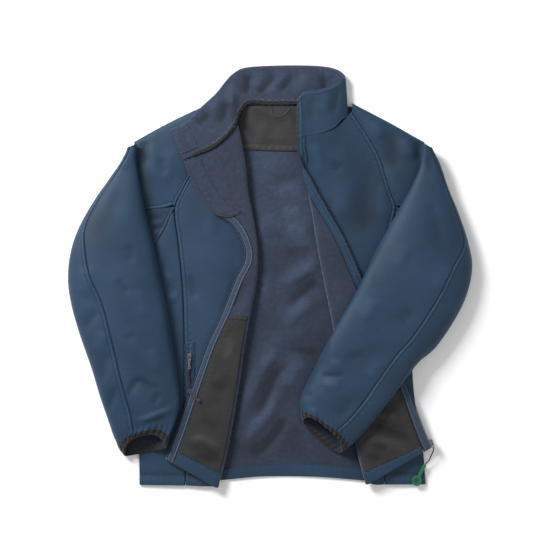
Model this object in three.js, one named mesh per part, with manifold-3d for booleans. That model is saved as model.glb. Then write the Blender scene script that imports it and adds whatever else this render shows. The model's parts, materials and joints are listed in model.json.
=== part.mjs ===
// A softshell jacket laid on its back, its fronts turned open and its sleeves brought down.
// Millimetres, +X to the wearer's left, +Y toward the collar, +Z up from the table.
import * as THREE from 'three';
import { mergeVertices } from 'three/addons/utils/BufferGeometryUtils.js';
import Module from 'manifold-3d';

// Cloth, trims and the gap that stays between pieces.
const WALL = 2.2;
const BINDING = 1.6;
const LINING = 1;
const GAP = 0.35;
const FOLD_RADIUS = 5;
const HALF = WALL / 2;

// Zip teeth and tape along the front edges: widths and half thicknesses.
const TEETH = 3.4;
const TAPE = 13.5;
const TEETH_HALF = 1;
const TAPE_HALF = 0.7;

// The laid-out jacket's middle, in the plan that the tables below use.
const MIDDLE = { x: -0.3, y: -0.4 };

// Turns a short table with named columns into rows.
function table(text) {
  const [names, ...rows] = text.trim().split('\n').map((line) => line.trim().split(/\s+/));
  return rows.map((row) => Object.fromEntries(names.map((name, i) => [name, Number(row[i])])));
}

// Back panel: right edge l, centre c and left edge r of each row, neck to hem.
const BACK = table(`
  at  lx   ly   cx  cy   rx   ry
  0   -41  320  43  320  126  317
  1   -78  289  41  285  152  283
  2  -137  209  33  209  192  209
  3  -189  137  28  137  226  137
  4  -237   89  24   89  263   89
  5  -240   33  24   33  265   30
  6  -242  -26  24  -35  263  -44
  7  -244 -137  24 -137  262 -137
  8  -244 -229  24 -229  267 -229
  9  -242 -322  24 -313  282 -318
  10 -241 -386  24 -370  288 -385`);

// Soft folds in the open middle of the back: a ridge from one end to the other.
const BACK_FOLDS = table(`
  x0   y0    x1   y1   high  wide
  66   93   -12   89   4.0   17
  84   20    26  -14   4.2   15
  90  -42    36  -80   4.0   15
  60  -108   20 -114   3.0   13
  13  -127  -23 -172   5.0   15
  -23 -172  -45 -240   5.0   14
  -45 -240  -60 -288   4.0   13
  25  -202   -3 -252   4.5   13
  -3  -252  -38 -298   4.0   13
  48  -262   16 -316   3.5   16`);

// Fronts: princess or raglan seam a, middle m, fold line f with its turn in degrees,
// flap middle g and zip edge z, with the cloth's height at each.
const FRONT_R = table(`
  at  ax   ay   az    mx   my   mz    fx   fy   fz   turn  gx   gy   gz    zx   zy   zz
  0   -85  272  12    -72  274  12.5  -59  276  12   180   -91  242  25    -159 211  26
  1  -109  248  11.6  -78  248  13    -54  252  12   180   -91  215  25    -146 181  25
  2  -135  205  11    -89  215  13    -46  205  11   180   -81  185  24    -128 148  23
  3  -163  155  9.6  -100  168  12.5  -41  155  10   180   -68  141  21    -104 117  19
  4  -176  122  8.2  -102  118  12    -33  115   9   180   -52  107  19     -74  96  17.5
  5  -170   67  7    -100   67  11    -25   67   8   180   -39   67  18.5   -54  67  17.5
  6  -165   20  6.5   -98   26  10.5  -23   30   8   180   -35   30  18.5   -48  33  17
  7  -161  -26  6.5   -98  -22  10    -26  -13   8   180   -44  -11  18.5   -67  -9  16.5
  8  -159  -81  6.5  -100  -78  10    -37  -72   8   180   -61  -70  18.5   -91 -70  16
  9  -158 -137  6.5  -104 -133  10    -48 -133   8   180   -81 -128  18.5  -117 -126 16
  10 -158 -192  6.5  -107 -192  10    -57 -196   8   180   -98 -189  18    -138 -183 16
  11 -158 -257  6.5  -113 -259  9.5   -68 -263   8   180  -113 -250  17.5  -157 -237 16
  12 -157 -322  6.2  -118 -326  9     -81 -331  7.5  180  -130 -309  17    -175 -290 15.5
  13 -156 -387  6    -126 -388  8     -96 -390  7    180  -144 -365  16.5  -193 -337 15`);
const FRONT_L = table(`
  at  ax   ay   az    mx   my   mz    fx   fy   fz   turn  gx   gy   gz    zx   zy   zz
  0   151  303  10    113  269  20    59   257  22   30    54   257  22.8  48   256  23.2
  1   179  261  10.5  118  233  17    59   231  18   40    54   231  19.2  49   231  20
  2   202  220  10    133  204  14    58.5 207  13   105   58.6 206.5 20.8 58.8 206.5 23
  3   215  181   9.6  141  181  13    62   183  11   165   68.6 184.5 21.2 72   185.2 21.6
  4   224  152   9    148  152  12    71   154  10   180   79   155  20    87   157  20
  5   233  126   8.2  155  118  12    78   118   9   180   92   120  19    107  122  19
  6   224   85   7    155   74  11    85    72   8   180   109   74  18.5  134   76  18
  7   220   26   6.5  155   22  10    94    22   8   180   126   24  18.5  157   26  17
  8   216  -44   6.5  163  -46  10   108   -48   8   180   148  -46  18.5  187  -44  16.5
  9   215 -128   6.5  170 -128  10   124  -130   8   180   174 -126  18.5  222 -122  16
  10  213 -215   6.5  178 -215  10   139  -216   8   180   198 -209  18    255 -202  16
  11  212 -318   6.2  185 -320  9    160  -318  7.5  180   224 -303  17    285 -283  15.5
  12  211 -385   6    194 -385  8    177  -384  7    180   237 -351  16.5  299 -315  15`);

// Side seams and armholes of the front side panels, at the stations of the fronts.
const SIDE_R = table(`
  at   sx   sy   sz
  4   -181  117  7.6
  4.7 -196   83  6.4
  5.4 -215   56  5.4
  6   -240   31  4.2
  7   -242  -26  3.9
  8   -244  -81  3.8
  9   -244 -137  3.8
  10  -244 -192  3.8
  11  -244 -257  3.8
  12  -242 -322  3.8
  13  -241 -386  3.8`);
const SIDE_L = table(`
  at   sx   sy   sz
  5    239  117  7.6
  5.6  246   82  6.4
  6.3  253   54  5.4
  7    264   28  4.2
  8    263  -44  3.9
  9    262 -128  3.8
  10   266 -215  3.8
  11   282 -318  3.8
  12   288 -385  3.8`);

// Raglan shoulders: front seam p, crown q, the shoulder's outline s where the cloth turns under.
const CAP_R = table(`
  at  px   py   pz    qx   qy   qz    sx   sy   sz
  0   -86  275  12    -85  300  13    -85  326  12
  1  -116  243  11.5 -126  270  16   -131  308  13
  2  -149  187  10.5 -166  233  16   -176  287  13
  3  -178  131   8.5 -204  192  14   -218  265  12
  4  -255  119   7   -264  178  11   -250  247   9`);
const CAP_L = table(`
  at  px   py   pz    qx   qy   qz    sx   sy   sz
  0   151  303  10    153  311  11    151  318  11
  1   183  264  10.5  186  280  15    180  303  13
  2   206  223  10    216  252  16    222  281  13
  3   236  132   8.5  252  205  14    261  259  12
  4   277  120   7    290  172  11    285  246   9`);

// Undersleeve gussets: outer side o, and the armhole's stations on the side panel.
const GUSSET_R = table(`
  at  ox   oy   oz   arm
  0  -255  115  6.8  4.05
  1  -248   90  5.8  4.6
  2  -246   60  4.8  5.3
  3  -246   38  4.2  5.8`);
const GUSSET_L = table(`
  at  ox   oy   oz   arm
  0   277  116  6.8  5.05
  1   273   88  5.8  5.5
  2   270   62  4.5  6.2
  3   269   36  3.8  6.7`);

// Collar: neck seam s and top edge t, from the right front's tip round the back to the left front.
const COLLAR = table(`
  at  sx   sy   sz    tx   ty   tz
  0  -159  213  28.8  -183 270  22
  1  -130  224  28.4  -157 281  23
  2  -107  233  28.0  -128 309  22
  3   -89  246  27.6  -100 335  20
  4   -68  270  26    -83  357  17
  5   -57  299  17    -67  374  12
  6   -41  321   8    -44  385  7
  7     0  320  4.2    13  389  3.6
  8    56  320  4.2    72  389  3.6
  9   102  317  5     107  386  4.6
  10  126  313  8     128  379  8
  11  138  302  14.5  138  368  14
  12  131  288  21.5  131  361  20.5
  13  117  272  25    111  349  22.5
  14   92  262  25.8   87  342  23
  15   67  257  26.2   63  339  23
  16   49  256  26.4   50  326  23`);

// Sleeves: inner side i and outer side o of each section in plan, the cloth's top height, the share
// of the width where the elbow seam lies, and how far the cuff's lips stand back or forward.
const ARM_R = table(`
  at  ix   iy    ox   oy    top  elbow  back  fore
  0  -246  242  -259  236   27   0.75   0     0
  1  -248  215  -270  211   31   0.80   0     0
  2  -244  187  -294  178   35   0.86   0     0
  3  -239  154  -320  141   40   0.90   0     0
  4  -228  100  -348   92   44   0.90   0     0
  5  -216   52  -364   48   46   0.82   0     0
  6  -204   -4  -370   -2   48   0.74   0     0
  7  -194  -50  -364  -50   48   0.66   0     0
  8  -185 -105  -348 -107   48   0.65   0     0
  9  -176 -161  -327 -168   46   0.67   0     0
  10 -170 -207  -311 -220   44   0.67   0     0
  11 -168 -235  -298 -259   41   0.67   4     0
  12 -176 -266  -287 -292   38   0.68   12    0
  13 -187 -296  -276 -316   34   0.69   24    1
  14 -192 -314  -266 -331   31   0.70   31    3`);
const ARM_L = table(`
  at  ix   iy    ox   oy    top  elbow  back  fore
  0   282  243   295  235   27   0.75   0     0
  1   278  204   311  204   32   0.85   0     0
  2   263  166   327  159   37   0.92   0     0
  3   242  128   346  113   42   0.94   0     0
  4   218   85   363   61   46   0.94   0     0
  5   194   41   370   11   48   0.80   0     0
  6   170   -9   353  -52   50   0.74   0     0
  7   152  -44   307 -126   50   0.73   0     0
  8   118 -102   270 -159   50   0.74   0     0
  9    94 -150   233 -205   48   0.74   0     0
  10   72 -194   202 -246   46   0.74   0     0
  11   59 -224   170 -285   43   0.72   4     0
  12   59 -252   142 -313   40   0.68   12    4
  13   63 -265   130 -322   37   0.66   21    13`);

const COLOURS = {
  shell: [0x2c4560, 0.75, 0],
  fleece: [0x3c4058, 0.95, 0],
  pocketing: [0x3a3938, 0.7, 0],
  binding: [0x4a4240, 0.8, 0],
  tape: [0x465470, 0.8, 0],
  teeth: [0x3a4c64, 0.5, 0],
  metal: [0xb4b6b8, 0.35, 1],
  cord: [0x17181c, 0.8, 0],
  rubber: [0x1f7d4e, 0.6, 0],
};
const MATERIALS = {};
for (const [name, [color, roughness, metalness]] of Object.entries(COLOURS)) {
  MATERIALS[name] = new THREE.MeshStandardMaterial({ color, roughness, metalness });
}

const jacket = new THREE.Group();
const meshes = {};

function add(name, material, geometry) {
  const mesh = new THREE.Mesh(geometry, MATERIALS[material]);
  mesh.name = name;
  meshes[name] = mesh;
  jacket.add(mesh);
  return mesh;
}

// A column of a table read between its rows, as a smooth curve through them.
function value(rows, name, at) {
  let i = 0;
  while (i < rows.length - 2 && at > rows[i + 1].at) i += 1;
  const slope = (k) => {
    const before = rows[Math.max(k - 1, 0)];
    const after = rows[Math.min(k + 1, rows.length - 1)];
    return (after[name] - before[name]) / (after.at - before.at);
  };
  const span = rows[i + 1].at - rows[i].at;
  const t = (at - rows[i].at) / span;
  const ease = t * t * (3 - 2 * t);
  const bends = span * t * (1 - t) * (slope(i) * (1 - t) - slope(i + 1) * t);
  return rows[i][name] * (1 - ease) + rows[i + 1][name] * ease + bends;
}

function spot(rows, key, at) {
  return new THREE.Vector3(value(rows, `${key}x`, at), value(rows, `${key}y`, at),
    rows[0][`${key}z`] === undefined ? 0 : value(rows, `${key}z`, at));
}

// The plan direction along a column of points, and the one that a quarter turn gives.
function heading(rows, key, at) {
  return spot(rows, key, at + 0.1).sub(spot(rows, key, at - 0.1)).setZ(0).normalize();
}
const quarterTurn = (direction) => new THREE.Vector3(-direction.y, direction.x, 0);

// A cloth surface from the curve across it at each station. side is +1 or -1, so that the normal
// points out of the jacket's outer face.
class Cloth {
  constructor(section, side) {
    this.section = section;
    this.side = side;
    this.curves = new Map();
  }

  curve(at) {
    if (!this.curves.has(at)) {
      this.curves.set(at, new THREE.CatmullRomCurve3(this.section(at), false, 'centripetal'));
    }
    return this.curves.get(at);
  }

  // s counts the curve's own points from 0.
  point(s, at) {
    const curve = this.curve(at);
    const last = curve.points.length - 1;
    const p = curve.getPoint(Math.min(Math.max(s, 0), last) / last);
    return p.setZ(Math.max(p.z, HALF));
  }

  normal(s, at) {
    const last = this.curve(at).points.length - 1;
    const low = Math.max(s - 0.03, 0);
    const high = Math.min(s + 0.03, last);
    const across = this.point(high, at).sub(this.point(low, at));
    const along = this.point(s, at + 0.04).sub(this.point(s, at - 0.04));
    return across.cross(along).normalize().multiplyScalar(this.side);
  }

  // Where a width of cloth, measured from the curve's first point, ends.
  reach(width, at) {
    const curve = this.curve(at);
    const last = curve.points.length - 1;
    let before = curve.getPoint(0);
    let length = 0;
    for (let step = 1; step <= last * 20; step += 1) {
      const here = curve.getPoint(step / (last * 20));
      const piece = here.distanceTo(before);
      if (length + piece >= width) return (step - 1 + (width - length) / piece) / 20;
      length += piece;
      before = here;
    }
    return last;
  }
}

// A closed body from a grid of points on one face and the matching grid on the other.
function closedWall(outer, inner, wraps = false) {
  const rows = outer.length;
  const columns = outer[0].length;
  const positions = [];
  for (const face of [outer, inner]) {
    for (const row of face) for (const p of row) positions.push(p.x, p.y, p.z);
  }
  const index = [];
  const id = (face, row, column) => face * rows * columns + row * columns + (column % columns);
  const quad = (a, b, c, d) => index.push(a, b, c, a, c, d);
  const spans = wraps ? columns : columns - 1;
  for (let row = 0; row < rows - 1; row += 1) {
    for (let column = 0; column < spans; column += 1) {
      const corner = (face) => [id(face, row, column), id(face, row, column + 1),
        id(face, row + 1, column + 1), id(face, row + 1, column)];
      const [a, b, c, d] = corner(0);
      const [e, f, g, h] = corner(1);
      quad(a, b, c, d);
      index.push(e, g, f, e, h, g);
      if (row === 0) quad(b, a, e, f);
      if (row === rows - 2) quad(d, c, g, h);
      if (!wraps && column === 0) quad(a, d, h, e);
      if (!wraps && column === spans - 1) quad(c, b, f, g);
    }
  }
  const geometry = new THREE.BufferGeometry();
  geometry.setAttribute('position', new THREE.Float32BufferAttribute(positions, 3));
  geometry.setIndex(index);
  facesOut(geometry);
  geometry.computeVertexNormals();
  return geometry;
}

// Turns a closed body's faces outward, by the sign of its volume.
function facesOut(geometry) {
  const index = geometry.getIndex().array;
  const place = geometry.getAttribute('position');
  const corner = [0, 1, 2].map(() => new THREE.Vector3());
  let volume = 0;
  for (let i = 0; i < index.length; i += 3) {
    corner.forEach((p, k) => p.fromBufferAttribute(place, index[i + k]));
    volume += corner[0].dot(corner[1].clone().cross(corner[2]));
  }
  if (volume > 0) return;
  for (let i = 0; i < index.length; i += 3) [index[i + 1], index[i + 2]] = [index[i + 2], index[i + 1]];
}

// Evenly divides each stretch between stops, which only ever rise.
function ladder(stops, counts) {
  const steps = [stops[0]];
  let start = stops[0];
  counts.forEach((count, i) => {
    const end = Math.max(stops[i + 1], start + 0.02);
    for (let k = 1; k <= count; k += 1) steps.push(start + (end - start) * k / count);
    start = end;
  });
  return steps;
}

// A piece of cloth on a surface: columns(at) gives the places across it, low and high the
// distances of its two faces from the surface.
function piece(name, material, cloth, { columns, stations, low, high }) {
  const grid = (offset) => stations.map((at) => columns(at).map((s) =>
    cloth.point(s, at).addScaledVector(cloth.normal(s, at), offset)));
  return add(name, material, closedWall(grid(high), grid(low)));
}

// Back panel, flat on the table but for its soft folds.
function backHeight(x, y) {
  let rise = 0;
  for (const fold of BACK_FOLDS) {
    const start = new THREE.Vector2(fold.x0, fold.y0);
    const run = new THREE.Vector2(fold.x1, fold.y1).sub(start);
    const from = new THREE.Vector2(x, y).sub(start);
    const share = THREE.MathUtils.clamp(from.dot(run) / run.lengthSq(), 0, 1);
    const away = from.addScaledVector(run, -share).length() / fold.wide;
    rise = Math.max(rise, fold.high * Math.exp(-away * away));
  }
  return rise < 0.25 ? 0 : rise - 0.25;
}

const onBack = (p, lift) => p.setZ(HALF + backHeight(p.x, p.y) + lift);
const backPanel = new Cloth((at) => ['l', 'c', 'r'].map((key) => spot(BACK, key, at)), -1);

// A wall whose faces lie straight over each other, low and high above the back panel's middle.
function laid(name, material, cloth, { columns, stations, low, high }) {
  const grid = (lift) => stations.map((at) => columns(at).map((s) => onBack(cloth.point(s, at), lift)));
  return add(name, material, closedWall(grid(high), grid(low)));
}

laid('back_panel', 'fleece', backPanel, {
  columns: () => ladder([0, 0.7, 1.4, 2], [4, 13, 5]),
  stations: ladder([0, 4, 10], [8, 25]),
  low: -HALF,
  high: HALF,
});

// A patch on the back panel between two heights, its sides given at each end.
function backPatch(name, material, rows, { columns, count, low, high }) {
  const patch = new Cloth((at) => ['l', 'c', 'r'].map((key) => spot(rows, key, at)), -1);
  return laid(name, material, patch, {
    columns: () => ladder([0, 2], [columns]),
    stations: ladder([0, rows.length - 1], [count]),
    low,
    high,
  });
}

const FACING = table(`
  at  lx   ly   cx  cy   rx   ry
  0  -52  314   40  313  112  311
  1  -56  275   36  272  124  275
  2  -52  234   32  231  120  234`);
const FACING_EDGE = table(`
  at  lx   ly   cx  cy   rx   ry
  0  -51  243   32  240  119  243
  1  -52  235   32  232  119  235`);
const FACING_TOP = HALF + GAP + LINING;
backPatch('back_neck_facing', 'pocketing', FACING,
  { columns: 6, count: 4, low: HALF + GAP, high: FACING_TOP });
backPatch('back_facing_binding', 'binding', FACING_EDGE,
  { columns: 6, count: 1, low: FACING_TOP + GAP, high: FACING_TOP + GAP + LINING });

const HEM_BACK = table(`
  at  lx    ly    cx   cy    rx   ry
  0  -100  -359   24  -345   192  -357
  1  -100  -378   24  -368.5 192  -379`);
backPatch('hem_facing_back', 'shell', HEM_BACK,
  { columns: 12, count: 1, low: HALF + GAP, high: HALF + GAP + BINDING });

// Fronts: from the zip edge, over the flap, round the fold line and back to the seam.
const TURN_STEPS = 4;
const FLAP_END = 2;
const BASE_START = FLAP_END + TURN_STEPS;
const SEAM = BASE_START + 2;

function frontSection(rows, toSide) {
  return (at) => {
    const out = quarterTurn(heading(rows, 'f', at)).multiplyScalar(toSide);
    const turn = THREE.MathUtils.degToRad(value(rows, 'turn', at));
    const lead = FOLD_RADIUS * Math.sin(Math.min(turn, Math.PI / 2));
    const start = spot(rows, 'f', at).addScaledVector(out, -lead);
    const arc = [];
    for (let k = TURN_STEPS; k >= 0; k -= 1) {
      const angle = turn * k / TURN_STEPS;
      arc.push(start.clone().addScaledVector(out, FOLD_RADIUS * Math.sin(angle))
        .setZ(start.z + FOLD_RADIUS * (1 - Math.cos(angle))));
    }
    return [spot(rows, 'z', at), spot(rows, 'g', at), ...arc, spot(rows, 'm', at), spot(rows, 'a', at)];
  };
}

const FRONTS = {
  r: { rows: FRONT_R, sides: SIDE_R, cloth: new Cloth(frontSection(FRONT_R, 1), 1), junction: 4,
    stops: [4], counts: [6, 15], slack: 1, bare: 0.13, hem: 12.57 },
  l: { rows: FRONT_L, sides: SIDE_L, cloth: new Cloth(frontSection(FRONT_L, -1), -1), junction: 5,
    stops: [5 / 3, 5], counts: [2, 8, 11], slack: 3.2, bare: 0.54, hem: 11.64 },
};

// The zip's tape and teeth, the turned-up hem and the pocket bag lie on the front's inner face.
const BAG = {
  r: { start: 8.05, from: 19, to: 2 },
  l: { start: 8.7, from: 19, to: 2 },
};
for (const [hand, front] of Object.entries(FRONTS)) {
  const { cloth, rows, hem } = front;
  const last = rows.length - 1;
  const stations = ladder([0, ...front.stops, last], front.counts);
  piece(`front_centre_${hand}`, 'shell', cloth, {
    columns: (at) => ladder([cloth.reach(TEETH + TAPE + front.slack * GAP * 2, at), FLAP_END, BASE_START,
      SEAM - 0.004], [4, TURN_STEPS, 5]),
    stations,
    low: -HALF,
    high: HALF,
  });
  piece(`zip_tape_${hand}`, 'tape', cloth, {
    columns: (at) => [0, 1, 2, 3].map((k) => cloth.reach(TEETH + front.slack * GAP + TAPE * k / 3, at)),
    stations,
    low: -TAPE_HALF,
    high: TAPE_HALF,
  });
  const teethEnd = last - front.bare;
  piece(`zip_teeth_${hand}`, 'teeth', cloth, {
    columns: (at) => [0, cloth.reach(TEETH, at)],
    stations: [0.02, ...stations.filter((at) => at > 0 && at < teethEnd), teethEnd],
    low: -TEETH_HALF,
    high: TEETH_HALF,
  });
  piece(`hem_facing_${hand}`, 'shell', cloth, {
    columns: (at) => ladder([cloth.reach(TEETH + TAPE + 2, at), FLAP_END, FLAP_END + 1], [4, 1]),
    stations: ladder([hem, last - 0.02], [1]),
    low: -HALF - GAP - BINDING,
    high: -HALF - GAP,
  });
  const bag = BAG[hand];
  piece(`pocket_bag_${hand}`, 'pocketing', cloth, {
    columns: (at) => ladder([cloth.reach(bag.from, at), bag.to], [4]),
    stations: ladder([bag.start, hem - 0.03], [8]),
    low: -HALF - GAP - LINING,
    high: -HALF - GAP,
  });
}

// Wind flap over the top of the right front's zip, round at its lower corner, with a bound edge.
const WIND_FLAP = { wide: 32, binding: 2.6, proud: 0.3, start: 0.25, end: 3.72, corner: 3.1, round: 22,
  long: 25 };
const WIND_FLAP_LOW = -TEETH_HALF - GAP;
const CORNER_SHARE = 0.95;
function flapEdge(at) {
  const past = (at - WIND_FLAP.corner) / (WIND_FLAP.end - WIND_FLAP.corner);
  const t = THREE.MathUtils.clamp(past, 0, 1) * CORNER_SHARE;
  const arc = Math.sqrt(1 - t * t);
  const slope = WIND_FLAP.round / WIND_FLAP.long * t / arc;
  return { from: WIND_FLAP.round * (1 - arc), wide: WIND_FLAP.binding * Math.hypot(1, slope) };
}
const flapStations = ladder([WIND_FLAP.start, WIND_FLAP.corner, WIND_FLAP.end], [7, 5]);
piece('wind_flap_r', 'fleece', FRONTS.r.cloth, {
  columns: (at) => {
    const { from, wide } = flapEdge(at);
    const ends = [from + wide + GAP, WIND_FLAP.wide].map((width) => FRONTS.r.cloth.reach(width, at));
    return ladder(ends, [4]);
  },
  stations: flapStations,
  low: WIND_FLAP_LOW - BINDING,
  high: WIND_FLAP_LOW,
});
piece('flap_binding_r', 'binding', FRONTS.r.cloth, {
  columns: (at) => {
    const { from, wide } = flapEdge(at);
    return [from, from + wide].map((width) => FRONTS.r.cloth.reach(width, at));
  },
  stations: flapStations,
  low: WIND_FLAP_LOW - BINDING - WIND_FLAP.proud,
  high: WIND_FLAP_LOW,
});

// Front side panels: from the princess seam to the side seam, and above it to the armhole.
const seamPoint = (front, at) => front.cloth.point(SEAM, at);
const sidePoint = (front, at) => spot(front.sides, 's', at);
const SIDE_GAP = 1.3;
const GUSSET_GAP = 1.9;
const BULGE = 0.6;

function sideSection(front) {
  return (at) => {
    const seam = seamPoint(front, at);
    const side = sidePoint(front, at);
    const out = side.clone().sub(seam).normalize();
    const middle = seam.clone().lerp(side, 0.5);
    middle.z += BULGE;
    return [seam.addScaledVector(out, SIDE_GAP), middle, side];
  };
}

for (const [hand, front] of Object.entries(FRONTS)) {
  front.side = new Cloth(sideSection(front), hand === 'r' ? 1 : -1);
  const first = front.sides[0].at + 0.08;
  const last = front.rows.length - 1;
  piece(`front_side_${hand}`, 'shell', front.side, {
    columns: () => ladder([0, 2], [4]),
    stations: ladder([first, first + 2, last], [4, (last - first - 2) * 1.5 | 0]),
    low: -HALF,
    high: HALF,
  });
}

// Raglan shoulders: front seam, crown, round the shoulder's outline and in under to the back seam.
const CAPS = {
  r: { rows: CAP_R, edge: 'l', front: FRONTS.r, stations: ladder([0, 4], [8]) },
  l: { rows: CAP_L, edge: 'r', front: FRONTS.l, stations: ladder([0, 1, 3, 4], [2, 8, 2]) },
};

function capSection({ rows, edge, front }) {
  return (at) => {
    const p = at <= 3 ? seamPoint(front, at * front.junction / 3) : spot(rows, 'p', at);
    const q = spot(rows, 'q', at);
    const outline = spot(rows, 's', at);
    const out = outline.clone().sub(q).setZ(0).normalize();
    const seam = spot(BACK, edge, at);
    const radius = (outline.z - HALF) / 2;
    const centre = outline.clone().addScaledVector(out, -radius).setZ(HALF + radius);
    const arc = [90, 45, 0, -45, -90].map((degrees) => {
      const angle = THREE.MathUtils.degToRad(degrees);
      return centre.clone().addScaledVector(out, radius * Math.cos(angle))
        .setZ(centre.z + radius * Math.sin(angle));
    });
    const inward = quarterTurn(heading(BACK, edge, at)).multiplyScalar(edge === 'l' ? -1 : 1);
    seam.addScaledVector(inward, SIDE_GAP).setZ(HALF);
    const forward = q.clone().sub(p).setZ(0).normalize();
    return [p.addScaledVector(forward, SIDE_GAP), q, ...arc, seam];
  };
}

for (const [hand, cap] of Object.entries(CAPS)) {
  const cloth = new Cloth(capSection(cap), hand === 'r' ? 1 : -1);
  piece(`sleeve_cap_${hand}`, 'shell', cloth, {
    columns: () => ladder([0, 2, 6, 7], [5, 4, 3]),
    stations: cap.stations,
    low: -HALF,
    high: HALF,
  });
}

// Gussets under the sleeves, between the shoulder and the armhole.
for (const [hand, rows] of Object.entries({ r: GUSSET_R, l: GUSSET_L })) {
  const front = FRONTS[hand];
  const cloth = new Cloth((at) => {
    const outer = spot(rows, 'o', at);
    const arm = sidePoint(front, value(rows, 'arm', at));
    const out = outer.clone().sub(arm).normalize();
    return [outer, outer.clone().lerp(arm, 0.5), arm.addScaledVector(out, GUSSET_GAP)];
  }, hand === 'r' ? -1 : 1);
  piece(`sleeve_gusset_${hand}`, 'shell', cloth, {
    columns: () => ladder([0, 2], [3]),
    stations: ladder([0, 3], [4]),
    low: -HALF,
    high: HALF,
  });
}

// Collar, its chin guard and the tape over the neck seam.
const collarCloth = new Cloth((at) => {
  const seam = spot(COLLAR, 's', at);
  const top = spot(COLLAR, 't', at);
  const middle = seam.clone().lerp(top, 0.5);
  middle.z += 1;
  return [seam, middle, top];
}, -1);
piece('collar', 'fleece', collarCloth, {
  columns: () => ladder([0, 2], [4]),
  stations: ladder([0, 9, 13, 16], [16, 10, 5]),
  low: -HALF,
  high: HALF,
});
piece('neck_tape', 'binding', collarCloth, {
  columns: () => [0.02, 0.27],
  stations: ladder([0.6, 9, 10.4], [15, 3]),
  low: HALF + GAP,
  high: HALF + GAP + LINING,
});
piece('chin_guard_r', 'fleece', collarCloth, {
  columns: () => ladder([0.35, 1.7], [3]),
  stations: ladder([0.1, 1.1], [3]),
  low: HALF + GAP,
  high: HALF + GAP + LINING,
});

// Heights of what already lies on the table, on a square grid.
const CELL = 4;
class Relief {
  constructor() {
    this.heights = new Map();
  }

  key(i, j) {
    return i * 10000 + j;
  }

  cover(mesh) {
    const place = mesh.geometry.getAttribute('position');
    const index = mesh.geometry.getIndex().array;
    const triangle = new THREE.Triangle();
    const weights = new THREE.Vector3();
    for (let k = 0; k < index.length; k += 3) {
      triangle.setFromAttributeAndIndices(place, index[k], index[k + 1], index[k + 2]);
      const heights = new THREE.Vector3(triangle.a.z, triangle.b.z, triangle.c.z);
      [triangle.a, triangle.b, triangle.c].forEach((corner) => corner.setZ(0));
      const box = new THREE.Box3().setFromPoints([triangle.a, triangle.b, triangle.c]);
      const high = Math.max(heights.x, heights.y, heights.z);
      if (triangle.getArea() < 0.01) continue;
      for (let i = Math.floor(box.min.x / CELL); i <= Math.ceil(box.max.x / CELL); i += 1) {
        for (let j = Math.floor(box.min.y / CELL); j <= Math.ceil(box.max.y / CELL); j += 1) {
          triangle.getBarycoord(new THREE.Vector3(i * CELL, j * CELL, 0), weights);
          if (Math.min(weights.x, weights.y, weights.z) < -0.02) continue;
          const here = Math.min(weights.dot(heights), high);
          if (here > this.at(i, j)) this.heights.set(this.key(i, j), here);
        }
      }
    }
  }

  at(i, j) {
    return this.heights.get(this.key(i, j)) ?? 0;
  }

  // The highest point within a reach of a place.
  top(x, y, reach) {
    let high = 0;
    const steps = Math.ceil(reach / CELL);
    const ci = Math.round(x / CELL);
    const cj = Math.round(y / CELL);
    for (let i = -steps; i <= steps; i += 1) {
      for (let j = -steps; j <= steps; j += 1) {
        if (Math.hypot(i, j) * CELL <= reach) high = Math.max(high, this.at(ci + i, cj + j));
      }
    }
    return high;
  }
}

const relief = new Relief();
Object.values(meshes).forEach((mesh) => relief.cover(mesh));

// Sleeves: flattened tubes that lie on the table and on the fronts.
const REACH = 22;
const UNDER_GAP = 0.15;
const SIDE_RISE = 9;
const LEAST_RISE = 6;
const HIGHEST_REST = 22;
const RING_STEPS = 96;
const SQUARENESS = 2.5;
const UNDER_SEAM = -0.45;

function sleeveRing(rows, at, shift = 0) {
  const inner = spot(rows, 'i', at);
  const outer = spot(rows, 'o', at);
  const ahead = spot(rows, 'i', at + 0.1).add(spot(rows, 'o', at + 0.1));
  const behind = spot(rows, 'i', at - 0.1).add(spot(rows, 'o', at - 0.1));
  const toCuff = ahead.sub(behind).normalize();
  const points = [];
  for (let k = 0; k <= RING_STEPS; k += 1) {
    const angle = UNDER_SEAM + 2 * Math.PI * k / RING_STEPS;
    const c = Math.cos(angle);
    const w = Math.sin(angle);
    const across = (1 - Math.sign(c) * Math.abs(c) ** (2 / SQUARENESS)) / 2;
    const rise = Math.sign(w) * Math.abs(w) ** (2 / SQUARENESS);
    const lean = w > 0 ? -value(rows, 'back', at) * w : -value(rows, 'fore', at) * w;
    const p = inner.clone().lerp(outer, across).addScaledVector(toCuff, lean + shift);
    const rest = relief.top(p.x, p.y, REACH) + UNDER_GAP + WALL;
    const side = Math.min(rest, HIGHEST_REST) + SIDE_RISE;
    const top = Math.max(value(rows, 'top', at), side + LEAST_RISE);
    p.z = rise > 0 ? side + (top - side) * rise : Math.max(side + (side - rest) * rise, rest);
    points.push({ p, across, upper: w > 0 });
  }
  let length = 0;
  points.forEach((point, k) => {
    if (k > 0) length += point.p.distanceTo(points[k - 1].p);
    point.length = length;
  });
  return points;
}

// A place at a length round a ring.
function onRing(ring, length) {
  const all = ring[ring.length - 1].length;
  const wanted = (length + all) % all;
  let k = 1;
  while (k < ring.length - 1 && ring[k].length < wanted) k += 1;
  const before = ring[k - 1];
  const share = (wanted - before.length) / (ring[k].length - before.length);
  return before.p.clone().lerp(ring[k].p, share);
}

// The inner and outer points of a tube at the same lengths round each ring.
const SMOOTHING = 7;
function tubeGrids(rings, lengths, mirror) {
  const inner = rings.map((ring, i) => lengths[i].map((length) => onRing(ring, length)));
  const outer = inner.map((row, i) => row.map((p, j) => {
    const ring = rings[i];
    const across = onRing(ring, lengths[i][j] + SMOOTHING).sub(onRing(ring, lengths[i][j] - SMOOTHING));
    const along = inner[Math.min(i + 1, inner.length - 1)][j].clone().sub(inner[Math.max(i - 1, 0)][j]);
    return p.clone().addScaledVector(across.cross(along).normalize(), WALL * mirror);
  }));
  return { outer, inner };
}

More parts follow.
